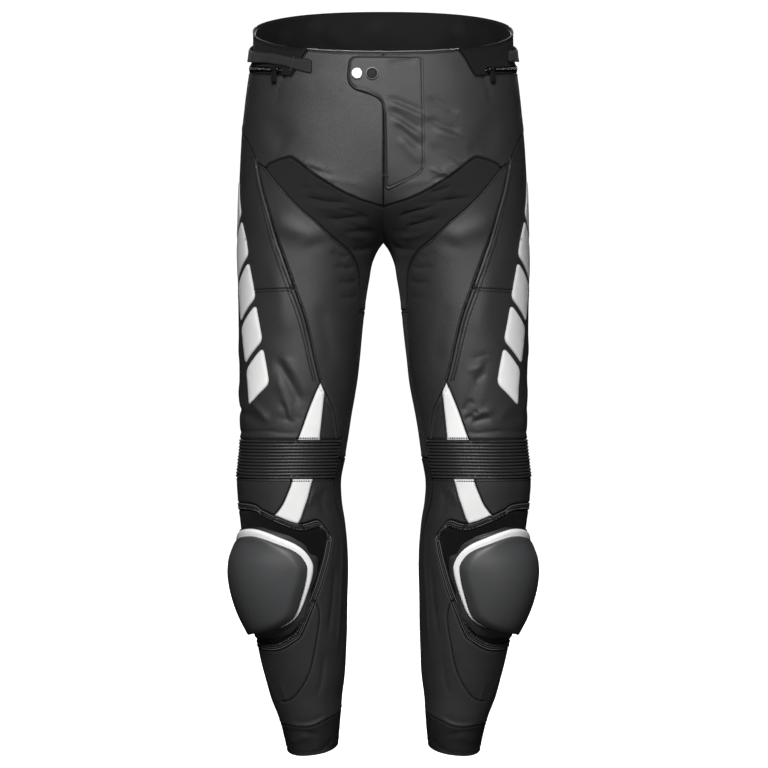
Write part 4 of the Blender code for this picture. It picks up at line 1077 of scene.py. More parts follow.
def make_mesh(name, points, faces, corner_uvs=None, attributes=None, smooth_angle=38):
    """A mesh object at the origin from points in millimetres."""
    mesh = bpy.data.meshes.new(name)
    mesh.vertices.add(len(points))
    mesh.vertices.foreach_set("co", (points * MM).astype(np.float32).ravel())
    mesh.loops.add(faces.size)
    mesh.loops.foreach_set("vertex_index", faces.astype(np.int32).ravel())
    mesh.polygons.add(len(faces))
    mesh.polygons.foreach_set("loop_start", np.arange(0, faces.size, 3, dtype=np.int32))
    mesh.update(calc_edges=True)
    if corner_uvs is not None:
        layer = mesh.uv_layers.new(name="cloth")
        layer.uv.foreach_set("vector", (corner_uvs * MM).astype(np.float32).ravel())
    for title, values in (attributes or {}).items():
        layer = mesh.attributes.new(title, "FLOAT", "POINT")
        layer.data.foreach_set("value", values.astype(np.float32))
    mesh.shade_smooth()
    mesh.set_sharp_from_angle(angle=math.radians(smooth_angle))
    mesh.validate()
    PIECES[name] = new_object(name, mesh)
    return PIECES[name]

# %% A panel on one half or on both
def half_arrays(chosen, side):
    """(numbers of the points, flat corner places) of the chosen triangles on that half."""
    corners = TRIANGLES[chosen][:, ::side]
    numbers = NUMBER[corners]
    if side < 0:
        numbers = np.where(MIDDLE[numbers], numbers, numbers + COUNT)
    return numbers, metric(FLAT[corners.ravel()], side)


ALL_POINTS = np.vstack([BASE, BASE * (-1, 1, 1)])
ALL_NORMALS = np.vstack([NORMALS, NORMALS * (-1, 1, 1)])
ALL_SLOW = np.concatenate([SLOW[1], SLOW[-1]])
ALL_FINE, ALL_SHADE, ALL_RIDGES = (np.tile(values, 2) for values in (FINE, SHADE, RIDGES))


def flat_measure(piece, points, triangles, places):
    """Keeps the size of the blank that the piece is cut from, and its own area, in metres."""
    a, b, c = (points[triangles[:, k]] for k in range(3))
    area = float(norm(np.cross(b - a, c - a), axis=1).sum() / 2) * MM * MM
    spread = places - places.mean(axis=0)
    _, _, axes = np.linalg.svd(spread, full_matrices=False)
    length, width = (float(np.ptp(spread @ axis)) * MM for axis in axes)
    width = min(max(width, area / length * 1.01), area / length / 0.32)
    piece["blank"] = [round(width, 4), round(length, 4), round(min(area, width * length), 5)]


def wall_piece(name, points, normals, triangles, upper, lower, corners, marks, **edge):
    """A wall as an object, with the flat place of each corner, and its blank."""
    out, faces = closed_wall(points, normals, triangles, upper, lower, **edge)
    rest = len(faces) - 2 * len(triangles)
    uvs = np.vstack([corners.reshape(-1, 2), corners[:, ::-1].reshape(-1, 2), np.zeros((3 * rest, 2))])
    piece = make_mesh(name, out, faces, uvs, {title: np.tile(values, 2) for title, values in marks.items()})
    flat_measure(piece, points, triangles, corners.reshape(-1, 2))


def panel(name, chosen, sides):
    """The cloth piece on those halves."""
    halves = [half_arrays(chosen, side) for side in sides]
    used, triangles = np.unique(np.vstack([h[0] for h in halves]), return_inverse=True)
    corners = np.vstack([h[1] for h in halves]).reshape(-1, 3, 2)
    slow, fine = ALL_SLOW[used], ALL_FINE[used]
    # the ridge attribute also places the binding's painted cord highlight
    wall_piece(name, ALL_POINTS[used], ALL_NORMALS[used], triangles.reshape(-1, 3), slow + fine, slow - WALL,
               corners, {"seam": ALL_SHADE[used], "ridge": ALL_RIDGES[used]})

# %% All the panels
FINISHES, NODES = {}, {}


def keep(name, finish, *nodes):
    FINISHES[name], NODES[name] = finish, nodes


for name, share, level, finish in PANELS:
    chosen = filled(share, level)
    for sides in ((1, -1),) if name in WHOLE else ((1,), (-1,)):
        full = name if name in WHOLE else f"{name}_{BOTH_SIDES[sides[0]]}"
        panel(full + "_cloth", chosen, sides)
        keep(full + "_cloth", finish, full)
print(len(PIECES), "panels,", sum(len(p.data.polygons) for p in PIECES.values()), "triangles")

# %% [markdown]
# ## Pieces laid on the panels
# A piece that is sewn or stuck on follows the cloth beneath it. It is triangulated inside its own
# outline, with rows of points just inside the edge so that the edge can be rounded, and each point goes
# out from the form by the piece's own height there. Such a piece may cross the middle, so its places are
# measured from the first border, and those of the right half are negative.

# %% Following the form
PROBE = 1.5


def on_side(places, side):
    """Places of a half's own pattern as measured from the border."""
    places = np.asarray(places, float)
    return np.stack([side * (places[:, 0] - border(places[:, 1])), places[:, 1]], axis=1)


def own_places(places):
    """The other way round, whichever half they are on."""
    return np.stack([np.abs(places[:, 0]) + border(places[:, 1]), places[:, 1]], axis=1)


def on_form(places):
    """Points and outward directions at places measured from the border."""
    side = np.where(places[:, :1] < 0, (-1, 1, 1), (1, 1, 1))
    x, level = own_places(places).T
    level = np.minimum(level, 0)
    round_leg = cloth_points(x + PROBE, level) - cloth_points(x - PROBE, level)
    up = cloth_points(x, level + PROBE) - cloth_points(x, level - PROBE)
    return cloth_points(x, level) * side, unit(np.cross(round_leg, up)) * side


def slow_at(places, points):
    """The slow relief of the cloth beneath, so that a laid piece rides over the same creases."""
    height = np.zeros(len(places))
    for side in (1, -1):
        mine = places[:, 0] * side >= 0
        if mine.any():
            height[mine] = crease_height(own_places(places[mine]), side)
    return height + slow_noise(points)

# %% A piece inside an outline
def counter_clockwise(points):
    x, y = points[:, 0], points[:, 1]
    turn = (x * np.roll(y, -1) - y * np.roll(x, -1)).sum()
    return points if turn > 0 else points[::-1]


def filled_outline(outline, rings, step):
    """(flat points, triangles) inside an outline, with rings of points near its edge and a grid within."""
    n = len(outline)
    grid = staggered(step, outline.min(axis=0), outline.max(axis=0))
    reach = norm(rings[-1] - outline, axis=1).mean() if rings else 0.0
    gaps, _ = distance_to_line(grid, np.vstack([outline, outline[:1]]))
    grid = grid[gaps > reach + 0.4 * step]
    loose = far_apart([(outline, 0)] + [(ring, 0.45) for ring in rings] + [(grid, 0.4 * step)])[n:]
    flat, _, faces, _, _, _ = delaunay_2d_cdt(
        [Vector(p) for p in outline] + [Vector(p) for p in loose],
        [(k, (k + 1) % n) for k in range(n)], [], 1, 0.001)
    flat, triangles = np.array([tuple(p) for p in flat]), np.array(faces)
    triangles = triangles[[within(centre, outline) for centre in flat[triangles].mean(axis=1)]]
    used, triangles = np.unique(turned_up(flat, triangles)[0], return_inverse=True)
    return flat[used], triangles.reshape(-1, 3)


def laid(name, trade, outline, low, height, step=4.0, rows=LOOP_ROWS, follow=slow_at,
         shade=lambda places: 1.0, own_side=0):
    """A closed piece inside a flat outline, from low to height(distance to the edge, places). Its trade
    is its finish and the node that it stands for.

    With own_side the outline is given on that half's own pattern, which has no step at the crotch.
    """
    outline = counter_clockwise(outline)
    rings = [beside(outline, distance, closed=True) for distance in rows]
    flat, triangles = filled_outline(outline, rings, step)
    if own_side:
        flat, outline = on_side(flat, own_side), on_side(outline, own_side)
        triangles = triangles[:, ::own_side]
    points, normals = on_form(flat)
    gap = gaps_to(tree_of(on_form(dense_line(outline, closed=True))[0]), points)
    base = follow(flat, points)
    places = np.stack([flat[:, 0] / at_level(SCALES, flat[:, 1]), flat[:, 1]], axis=1)
    # the seam attribute is painted shade along the piece's edge, scaled by shade()
    wall_piece(name, points, normals, triangles, base + height(gap, flat), base + low, places[triangles],
               {"seam": np.exp(-gap / 4.0) * shade(flat)}, gap=0.0, spread=0.0)
    keep(name, *trade)


def within(place, loop):
    """Whether a place is inside a loop, by counting the edges to its right."""
    x, y = place
    ends = np.roll(loop, -1, axis=0)
    cross = (loop[:, 1] > y) != (ends[:, 1] > y)
    a, b = loop[cross], ends[cross]
    at = a[:, 0] + (y - a[:, 1]) / (b[:, 1] - a[:, 1]) * (b[:, 0] - a[:, 0])
    return int((at > x).sum()) % 2 == 1


def edge_of(corners, radius):
    return resample(rounded(corners, radius), LOOP_STEP, closed=True)


def rounded_edge(top, drop, width):
    """A height that falls towards the edge, as folded or moulded edges do."""
    return lambda gap, places: top - drop * bell(gap, width)


# %% The fly's shield
def signed_places(corners):
    """Front places given by x and z, where the right side's x are negative."""
    return np.vstack([on_side([seen(abs(x), z)], math.copysign(1, x)) for x, z in corners])


FREE_LIFT, SEWN_LIFT, SEWN_FROM = 2.5, 0.5, 40.0
EDGE_ROW = 3.1  # how far inside its edge the shield is stitched
SWELL, SWELL_AT, STITCHED_IN, SWELL_WIDTH, RIM_WIDTH = 0.75, 1.4, 0.7, 0.8, 0.6


def free_share(places):
    """1 along the free edge, 0 towards the side where the shield is sewn down."""
    return 1 - eased((places[:, 0] + 5) / SEWN_FROM)


def shield_top(gap, places):
    """Its folded edge swells between the rim and the row of stitches."""
    free = free_share(places)
    lift = SEWN_LIFT + (FREE_LIFT - SEWN_LIFT) * free
    swell = SWELL * bell(gap, SWELL_WIDTH, SWELL_AT) - STITCHED_IN * bell(gap, SWELL_WIDTH, EDGE_ROW)
    return lift * (1 - 0.6 * bell(gap, RIM_WIDTH)) + swell * np.clip(free, 0.15, 1)


shield_edge = counter_clockwise(edge_of(signed_places(SHIELD), 9.0))
# the painted shade along its edge is full at the free edge and weaker where the shield is sewn down
laid("fly_shield_flap", ("cowhide", "fly_shield"), shield_edge, -0.4, shield_top, step=3.6,
     rows=(0.3, 0.8, 1.4, 2.1, 2.6, 3.1, 3.6, 4.4), shade=lambda places: 0.35 + 0.65 * free_share(places))

# %% Hip straps, zips and the white blocks
STRAP_BOW, BOW_WIDTH = 4.0, 0.13
TAPE_TOP = 1.1


def bowed(places, points):
    """A strap stands off the cloth at the side of the waist."""
    share = np.abs(places[:, 0]) / (FLAT_WIDTH - 2 * border(places[:, 1]))
    return slow_at(places, points) + STRAP_BOW * bell(share, BOW_WIDTH, 0.5)


for side, label in BOTH_SIDES.items():
    strap = on_side(STRAP_LEFT if side > 0 else STRAP_RIGHT, side)
    laid(f"hip_strap_{label}", ("strap_webbing", f"strap_{label}"), edge_of(strap, 5.0), 0.35,
         rounded_edge(1.9, 0.7, 0.8), follow=bowed)
    centre = on_side(resample(ZIP_LINE, 2.4), side)
    edge = np.vstack([beside(centre, ZIP_WIDTH / 2), beside(centre, -ZIP_WIDTH / 2)[::-1]])
    laid(f"zip_tape_{label}", ("zip_tape", f"hip_zip_{label}"), edge, 0.35,
         rounded_edge(TAPE_TOP, 0.3, 0.6), step=2.5, rows=(0.6,))

FLASH_START, FLASH_END = about(0.50, -212.0), about(0.285, -492.0)
FLASH_COUNT, FLASH_WIDE, FLASH_NARROW = 5, 46.0, 36.0
FLASH_SHARE, FLASH_SLANT, FLASH_CORNER = 0.86, 0.30, 7.0


def flash_outlines():
    """Slanted white blocks in a row down the outer thigh, smaller towards the knee."""
    start, end = np.array((FLASH_START, FLASH_END))
    along = (end - start) / FLASH_COUNT
    across = np.array([-along[1], along[0]]) / norm(along)
    for k in range(FLASH_COUNT):
        wide = FLASH_WIDE + (FLASH_NARROW - FLASH_WIDE) * k / (FLASH_COUNT - 1)
        middle = start + along * (k + 0.5)
        half, tall = across * wide / 2, along * FLASH_SHARE / 2
        half += along * FLASH_SLANT / 2
        corners = middle - half - tall, middle + half - tall, middle + half + tall, middle - half + tall
        yield edge_of(np.array(corners), FLASH_CORNER)


for side, label in BOTH_SIDES.items():
    for k, outline in enumerate(flash_outlines()):
        laid(f"flash_{label}_{k + 1}", ("white_applique",), outline, -0.2,
             rounded_edge(1.2, 1.0, 0.9), step=5.0, rows=(0.6, 1.6), own_side=side)

# %% Knee sliders
PLATE_TOP, PLATE_STEP, BAND_TOP, DOME_FOOT = 3.4, 1.5, 7.8, 3.6
BAND_FULL, BAND_LEVELS = 8.6, (-712.0, -798.0)
DOME_TOP, DOME_SIDE, SIDE_SLOPE = 22.5, 12.0, 0.95  # its face, and its wall's height and slope
TOP_BEND, TOP_SLOPE = -711.0, 0.29  # above this level the face leans back
LOW_BEND, LOW_SLOPE = -776.0, 0.36
DOME_CROWN, DOME_MIDDLE, BLUNT = 0.0011, (112.0, -745.0), 0.7
FOOT_DROP, FOOT_WIDTH = 1.2, 0.8  # the rounded foot of the dome
STEP_AT, STEP_STEEPNESS, PLATE_RIM = 3.2, 4, 0.7
SWELL_FROM, SWELL_TO = 105.0, 172.0  # towards the outer side the slider is thicker
SWELLS = ((-812, 4), (-798, 6.5), (-782, 9.6), (-766, 12), (-750, 13.6), (-734, 14.4), (-718, 13.8),
          (-702, 10.6), (-690, 5.4), (-680, 1))  # level, how much


def dome(gap, places):
    """The slider's face: flat facets that meet in blunt edges, over a steep wall."""
    x, level = np.abs(places[:, 0]), places[:, 1]
    off = (x - DOME_MIDDLE[0])**2 + (level - DOME_MIDDLE[1])**2
    swell = np.interp(level, *smooth_curve(SWELLS).T) * eased((x - SWELL_FROM) / (SWELL_TO - SWELL_FROM))
    facets = np.array([
        DOME_TOP - DOME_CROWN * off,
        DOME_SIDE + SIDE_SLOPE * gap,
        DOME_TOP - TOP_SLOPE * (level - TOP_BEND),
        DOME_TOP + LOW_SLOPE * (level - LOW_BEND),
    ])
    face = swell - BLUNT * np.log(np.exp(-facets / BLUNT).sum(axis=0))
    return face - FOOT_DROP * bell(gap, FOOT_WIDTH)


def plate_top(gap, places):
    """A low rim, a step, and the flat that the slider stands on."""
    step = 1 / (1 + np.exp(-(gap - STEP_AT) * STEP_STEEPNESS))
    return PLATE_TOP - PLATE_STEP * (1 - step) - PLATE_RIM * bell(gap, PLATE_RIM)


def band_outline(puck):
    """The band shows at the top and on the inner side, and ends in a point low on either side."""
    moved = []
    for point, out in zip(puck, puck - beside(puck, 1.0, closed=True)):
        level = point[1]
        high = np.clip((level - BAND_LEVELS[1]) / (BAND_LEVELS[0] - BAND_LEVELS[1]), 0, 1)
        moved.append(point + out * BAND_FULL * (0.08 + 0.92 * high**0.7))
    return np.array(moved)


def still(places, points):
    return np.zeros(len(places))


for side, label in BOTH_SIDES.items():
    puck = counter_clockwise(resample(smooth_curve(PUCK, closed=True), LOOP_STEP, closed=True))
    plate = edge_of(np.array(BASE_PLATE), 4.0)
    laid(f"slider_plate_{label}", ("moulded_plastic", f"slider_base_{label}"),
         on_side(plate, side), 0.4, plate_top, rows=(0.6, 1.6, 2.6, 3.4, 4.2), follow=still)
    laid(f"slider_edge_{label}", ("white_plastic", f"slider_band_{label}"),
         on_side(band_outline(puck), side), PLATE_TOP + 0.1, rounded_edge(BAND_TOP, 1.8, 1.0),
         rows=(0.4, 1.0, 2.0), follow=still)
    laid(f"slider_dome_{label}", ("slider_plastic", f"slider_puck_{label}"),
         on_side(puck, side), DOME_FOOT, dome, step=3.2, rows=(0.3, 0.7, 1.3, 2.2, 3.4), follow=still)
print(len(PIECES), "pieces so far")

# %% [markdown]
# ## Finishes
# Each finish is a Principled shader fed by small shader groups: a hide's grain, a woven cloth, a pile,
# moulded plastic. A group is built once and used with other values. The patterns lie in the object's own
# space, or on the cloth's own measure where a weave has to follow the panel.

# %% Nodes in short
def feed(node, **given):
    """Numbers and sockets for a node's inputs by name, with _ for a space; the rest are its settings."""
    for title, value in given.items():
        socket = node.inputs.get(title.replace("_", " "))
        if socket is None:
            setattr(node, title, value)
        elif isinstance(value, bpy.types.NodeSocket):
            node.id_data.links.new(value, socket)
        else:
            socket.default_value = value
    return node


def add_node(tree, kind, **given):
    return feed(tree.nodes.new("ShaderNode" + kind), **given)


def worked(tree, operation, *values, kind="Math"):
    """The result of a Math or Vector Math node on those numbers and sockets."""
    made = add_node(tree, kind, operation=operation)
    for socket, value in zip(made.inputs, values):
        if isinstance(value, (int, float)):
            socket.default_value = value
        else:
            tree.links.new(value, socket)
    return made.outputs[0]


def group(name, size, value, outputs, fill):
    """A shader group with a place and one size as inputs, filled by a function."""
    tree = bpy.data.node_groups.new(name, "ShaderNodeTree")
    tree.interface.new_socket("Place", in_out="INPUT", socket_type="NodeSocketVector")
    tree.interface.new_socket(size, in_out="INPUT", socket_type="NodeSocketFloat").default_value = value
    for title in outputs:
        tree.interface.new_socket(title, in_out="OUTPUT", socket_type="NodeSocketFloat")
    source, result = tree.nodes.new("NodeGroupInput"), tree.nodes.new("NodeGroupOutput")
    for title, socket in fill(tree, source.outputs).items():
        tree.links.new(socket, result.inputs[title])
    return tree


# %% The shared effects
def fill_grain(tree, given):
    """A hide's grain: pebbles parted by fine furrows, finer and coarser from place to place."""
    drift = add_node(tree, "TexNoise", Vector=given["Place"], Scale=38.0, Detail=2.0)
    shifted = add_node(tree, "VectorMath", operation="SCALE", Vector=drift.outputs["Color"], Scale=0.004)
    place = worked(tree, "ADD", given["Place"], shifted.outputs[0], kind="VectorMath")
    cells = add_node(tree, "TexVoronoi", feature="DISTANCE_TO_EDGE", Vector=place, Scale=given["Scale"])
    fine = add_node(tree, "TexNoise", Vector=place, Scale=2600.0, Detail=2.0)
    pebble = worked(tree, "MINIMUM", worked(tree, "MULTIPLY", cells.outputs["Distance"], 3.2), 1.0)
    height = worked(tree, "MULTIPLY_ADD", fine.outputs["Fac"], 0.3, pebble)
    return {"Height": height, "Furrow": worked(tree, "SUBTRACT", 1.0, pebble), "Drift": drift.outputs["Fac"]}


def fill_weave(tree, given):
    """Two crossing sets of yarns that pass over each other, as height and as a tone: random fluff, and
    painted shade where the weave lies low.
    """
    parts = add_node(tree, "SeparateXYZ", Vector=given["Place"]).outputs
    x, y = (worked(tree, "MULTIPLY", parts[axis], given["Yarns"]) for axis in "XY")
    wave_x, wave_y, over = (worked(tree, "SINE", worked(tree, "MULTIPLY", turns, math.pi))
                            for turns in (x, y, worked(tree, "ADD", x, y)))
    picked = worked(tree, "GREATER_THAN", over, 0.0)
    upper = worked(tree, "MULTIPLY", worked(tree, "ABSOLUTE", wave_x), picked)
    lower = worked(tree, "MULTIPLY", worked(tree, "ABSOLUTE", wave_y), worked(tree, "SUBTRACT", 1.0, picked))
    height = worked(tree, "ADD", upper, lower)
    fluff = add_node(tree, "TexNoise", Vector=given["Place"], Scale=700.0, Detail=3.0)
    # tone: random fluff, plus painted shade that darkens the weave's low places
    tone = worked(tree, "MULTIPLY_ADD", fluff.outputs["Fac"], 0.7, worked(tree, "MULTIPLY", height, 0.4))
    return {"Height": height, "Tone": tone}


def fill_pile(tree, given):
    """Short loops that stand every way."""
    tufts = add_node(tree, "TexVoronoi", Vector=given["Place"], Scale=given["Scale"])
    curls = add_node(tree, "TexNoise", Vector=given["Place"], Scale=1900.0, Detail=3.0, Distortion=1.5)
    gaps = worked(tree, "SUBTRACT", 1.0, tufts.outputs["Distance"])
    return {"Height": worked(tree, "MULTIPLY_ADD", curls.outputs["Fac"], 0.8, gaps),
            "Tone": curls.outputs["Fac"]}


def fill_moulded(tree, given):
    """The fine spark-eroded texture of a mould, and slow blotches of gloss."""
    spark = add_node(tree, "TexNoise", Vector=given["Place"], Scale=given["Scale"], Detail=2.0)
    blotch = add_node(tree, "TexNoise", Vector=given["Place"], Scale=26.0, Detail=3.0)
    return {"Height": spark.outputs["Fac"], "Gloss": blotch.outputs["Fac"]}


GRAIN = group("hide_grain", "Scale", 700.0, ("Height", "Furrow", "Drift"), fill_grain)
WEAVE = group("woven_cloth", "Yarns", 1400.0, ("Height", "Tone"), fill_weave)
PILE = group("loop_pile", "Scale", 650.0, ("Height", "Tone"), fill_pile)
MOULDED = group("moulded_face", "Scale", 1500.0, ("Height", "Gloss"), fill_moulded)
print("shared effects:", [tree.name for tree in bpy.data.node_groups])


# %% Building a finish
def new_material(name):
    made = bpy.data.materials.new(name)
    made.use_nodes = True
    return made, made.node_tree, made.node_tree.nodes["Principled BSDF"]


def start_finish(name, effect, **values):
    """A new material with one shared effect in it: (material, shader, effect's outputs)."""
    made, tree, shader = new_material(name)
    used = add_node(tree, "Group", node_tree=effect)
    cloth, place = add_node(tree, "UVMap", uv_map="cloth"), add_node(tree, "TexCoord")
    feed(used, Place=cloth.outputs["UV"] if effect is WEAVE else place.outputs["Object"], **values)
    return made, shader, used.outputs


def ramp(factor, *stops):
    """A colour or a value by steps: stops are (position, colour or grey)."""
    made = add_node(factor.id_data, "ValToRGB", Fac=factor)
    elements = made.color_ramp.elements
    while len(elements) < len(stops):
        elements.new(0.5)
    for element, (position, tone) in zip(elements, stops):
        element.position = position
        element.color = (*((tone,) * 3 if isinstance(tone, (int, float)) else tone), 1)
    return made.outputs["Color"]


def mixed(tree, blend, **given):
    return feed(add_node(tree, "Mix", data_type="RGBA", blend_type=blend), **given).outputs["Result"]


def bump(height, distance):
    return add_node(height.id_data, "Bump", Height=height, Distance=distance, Strength=1.0).outputs["Normal"]


def seam_shade_and_highlight(shader, colour, dark, light, shine):
    """Paints shade into the seams, darkening the colour and the shine there, and paints a faint highlight on
    the swell beside them.
    """
    tree = shader.id_data
    near = add_node(tree, "Attribute", attribute_name="seam").outputs["Fac"]
    # painted highlight on the swell beside a seam, painted shade in the seam itself
    shade = ramp(near, (0.0, 1.0), (0.35, 1.0), (0.6, light), (0.88, dark))
    feed(shader, Base_Color=mixed(tree, "MULTIPLY", Factor=1.0, A=colour, B=shade),
         Specular_IOR_Level=worked(tree, "MULTIPLY", shade, shine))

# %% The kinds of finish
def hide(name, pale, deep, gloss, matt, depth, dark=0.3, light=1.15, scale=700.0, shine=0.5):
    """Smooth cowhide: its grain, a slow drift of tone, and a gloss that is broken by the furrows."""
    made, shader, effect = start_finish(name, GRAIN, Scale=scale)
    seam_shade_and_highlight(shader, ramp(effect["Drift"], (0.3, deep), (0.7, pale)), dark, light, shine)
    feed(shader, Roughness=ramp(effect["Furrow"], (0.0, gloss), (0.8, matt)),
         Normal=bump(effect["Height"], depth))
    return made


def woven(name, pale, deep, yarns, depth, rough=0.85, sheen=0.25, shine=0.15):
    made, shader, effect = start_finish(name, WEAVE, Yarns=yarns)
    seam_shade_and_highlight(shader, ramp(effect["Tone"], (0.2, deep), (0.9, pale)), 0.4, 1.1, shine)
    feed(shader, Roughness=rough, Sheen_Weight=sheen, Sheen_Roughness=0.5,
         Normal=bump(effect["Height"], depth))
    return made


def moulded(name, pale, deep, gloss, matt, depth=0.00004, metal=0.0, scale=1500.0, shine=0.5):
    made, shader, effect = start_finish(name, MOULDED, Scale=scale)
    feed(shader, Base_Color=ramp(effect["Gloss"], (0.3, deep), (0.7, pale)),
         Roughness=ramp(effect["Gloss"], (0.35, matt), (0.65, gloss)), Metallic=metal,
         Specular_IOR_Level=shine, Normal=bump(effect["Height"], depth))
    return made


def tint(grey, blue=0.001):
    """A grey that is a little bluer, as black hide and cloth are, or warmer where blue is negative."""
    return grey, grey, grey + blue


def pile_finish():
    made, shader, effect = start_finish("touch_and_close_loop", PILE)
    feed(shader, Base_Color=ramp(effect["Tone"], (0.35, 0.003), (0.7, tint(0.014))), Roughness=0.95,
         Sheen_Weight=0.04, Specular_IOR_Level=0.03, Normal=bump(effect["Height"], 0.0006))
    return made


def black_hide(name, gloss=0.40, matt=0.56, **others):
    return hide(name, tint(0.029), tint(0.025), gloss, matt, 0.00012, **others)


def white_hide(name):
    # painted shade in the seams and along the laid blocks' edges, lighter than on black hide
    return hide(name, tint(0.94, -0.005), tint(0.9, -0.01), 0.42, 0.55, 0.0001, dark=0.6, light=1.0)


def taped(name, cord_highlight_colour):
    """The knee patch's binding: dark woven tape, with a painted highlight, a pale grey, on the tops of its
    three cords.
    """
    made = woven(name, tint(0.01), tint(0.005), 1100.0, 0.00012, sheen=0.02, shine=0.05)
    shader = made.node_tree.nodes["Principled BSDF"]
    cord_highlight = add_node(made.node_tree, "Attribute", attribute_name="ridge").outputs["Fac"]
    dark = shader.inputs["Base Color"].links[0].from_socket
    feed(shader, Base_Color=mixed(made.node_tree, "MIX", Factor=ramp(cord_highlight, (0.4, 0.0), (0.85, 1.0)), A=dark,
                                  B=(*cord_highlight_colour, 1)))
    return made


# %% The finishes by name
MATERIALS = {
    "cowhide": black_hide("black_cowhide"),
    # near-black painted shade in the grooves between the ribs and in this panel's seams
    "rib_cowhide": black_hide("pleated_cowhide", 0.36, 0.48, dark=0.04, light=1.0),
    "rolled_cowhide": black_hide("rolled_cowhide", 0.3, 0.42, shine=0.8),
    "cuff_cowhide": hide("matt_cowhide", tint(0.017), tint(0.013), 0.52, 0.64, 0.00014, shine=0.12),
    "white_cowhide": white_hide("white_cowhide"),
    "white_applique": white_hide("white_applique"),
    "stretch_weave": woven("stretch_weave", tint(0.021), tint(0.009), 1500.0, 0.00012, sheen=0.05),
    "waist_weave": woven("waist_weave", tint(0.014), tint(0.006), 1500.0, 0.00012, sheen=0.03, shine=0.1),
    # the pale grey is the painted highlight on the binding's cords
    "binding_tape": taped("binding_tape", tint(0.13, 0.002)),
    "strap_webbing": woven("strap_webbing", tint(0.026), tint(0.011), 900.0, 0.0002, 0.7, 0.08, 0.25),
    "zip_tape": woven("zip_tape", tint(0.004), tint(0.002), 1300.0, 0.00012, sheen=0.0, shine=0.02),
    "waist_lining": woven("waist_lining", tint(0.012), tint(0.005), 1700.0, 0.00008, 0.5, 0.02, 0.06),
    "loop_pile": pile_finish(),
    "moulded_plastic": moulded("moulded_plastic", tint(0.03), tint(0.025), 0.48, 0.58, shine=0.35),
    "slider_plastic": moulded("slider_plastic", (0.060, 0.061, 0.063), (0.053, 0.054, 0.056), 0.46, 0.56),
    "white_plastic": moulded("white_plastic", 0.96, 0.93, 0.4, 0.5),
    "bright_nickel": moulded("bright_nickel", (0.86, 0.85, 0.84), (0.78, 0.77, 0.76), 0.36, 0.44, 0.00001,
                             1.0),
    "worn_nickel": moulded("worn_nickel", tint(0.1, 0.003), tint(0.07, 0.003), 0.4, 0.5, 0.00002, 0.9),
    "zip_nickel": moulded("zip_nickel", tint(0.16, 0.005), tint(0.07, 0.004), 0.22, 0.34, 0.00002, 1.0),
    "black_nickel": moulded("black_nickel", tint(0.03, 0.003), tint(0.012, 0.002), 0.35, 0.55, 0.00001, 0.6,
                            shine=0.3),
    "dark_enamel": moulded("dark_enamel", tint(0.016), tint(0.01), 0.5, 0.6, shine=0.08),
    "thread": moulded("black_thread", tint(0.05, 0.002), tint(0.035, 0.002), 0.45, 0.6, 0.00005,
                      scale=4000.0),
    # near-black and without shine: painted shade where the needle holes are
    "painted_hole_shade": moulded("painted_hole_shade", 0.002, 0.001, 0.8, 0.95, 0.00005, scale=4000.0, shine=0.0),
}
print(len(MATERIALS), "finishes")

# %% [markdown]
# ## Inside the waist
# The back of the waist shows its lining, a thin satin that bags a little between its seams. It is laid
# on the inside of the form, and its flat places are measured from the centre back.

# %% The waist lining
LINING_INSIDE, LINING_OUTSIDE = -WALL - 1.5, -WALL - 0.3
LINING_FOLDS = (
    # from, to, depth, half width; distances from the centre back, the wearer's right positive
    ((-150, -20), (-70, -60), 4.7, 12), ((-105, -10), (-40, -52), 4.0, 10),
    ((60, -58), (140, -16), 4.7, 12), ((25, -50), (95, -8), 3.6, 9), ((-10, -62), (12, -8), 2.5, 10),
    ((160, -50), (215, -22), 3.6, 11), ((-215, -26), (-165, -48), 3.6, 11),
)


def from_back(places):
    """The same places measured from the first border, as on_form takes them."""
    x, level = places.T
    whole = FLAT_WIDTH - 2 * border(level)
    return np.stack([(whole - np.abs(x)) * np.where(x < 0, 1, -1), level], axis=1)


def lining_bag(places):
    depth = np.zeros(len(places))
    for start, end, deep, half_width in LINING_FOLDS:
        gap, share = distance_to_line(places, np.array((start, end), float))
        depth += deep * bell(gap, half_width) * np.clip(4 * np.minimum(share, 1 - share), 0.15, 1)
    return depth


def add_lining():
    (back_x, top), (front_x, _), (_, low_front), (_, low_back) = LINING_OUTLINE
    reach = back_x - front_x
    outline = np.array([(-reach, top), (-reach, low_front), (0, low_back), (reach, low_front), (reach, top)])
    outline = counter_clockwise(resample(outline, 4.0, closed=True))
    flat, triangles = filled_outline(outline, [], 4.0)
    places = from_back(flat)
    points, normals = on_form(places)
    middle = np.abs(flat[:, 0]) < NEAR
    points[middle, 0] = normals[middle, 0] = 0.0
    slow = slow_at(places, points)
    wall_piece("waist_lining_cloth", points, normals, triangles, slow + LINING_OUTSIDE,
               slow + LINING_INSIDE - lining_bag(flat), flat[triangles], {"seam": np.zeros(len(flat))},
               gap=0.0, spread=0.0)
    keep("waist_lining_cloth", "waist_lining", "waist_lining")


add_lining()

# %% [markdown]
# ## Rows of small things
# A row of stitches, of dark dots that paint the shade in needle holes, or of zip teeth is the same small body
# again and again along a line.
# A Geometry Nodes tree does that: it takes lines as loose edges, divides them evenly, and puts the body
# on each point, turned along the line and laid flat on the cloth. Shift moves each one along by that
# share of the pitch.

# %% The tree that repeats along a line
ROW_SIZES = (("Pitch", 0.0031), ("Long", 0.0023), ("Wide", 0.0006), ("High", 0.0006), ("Shift", 0.0))


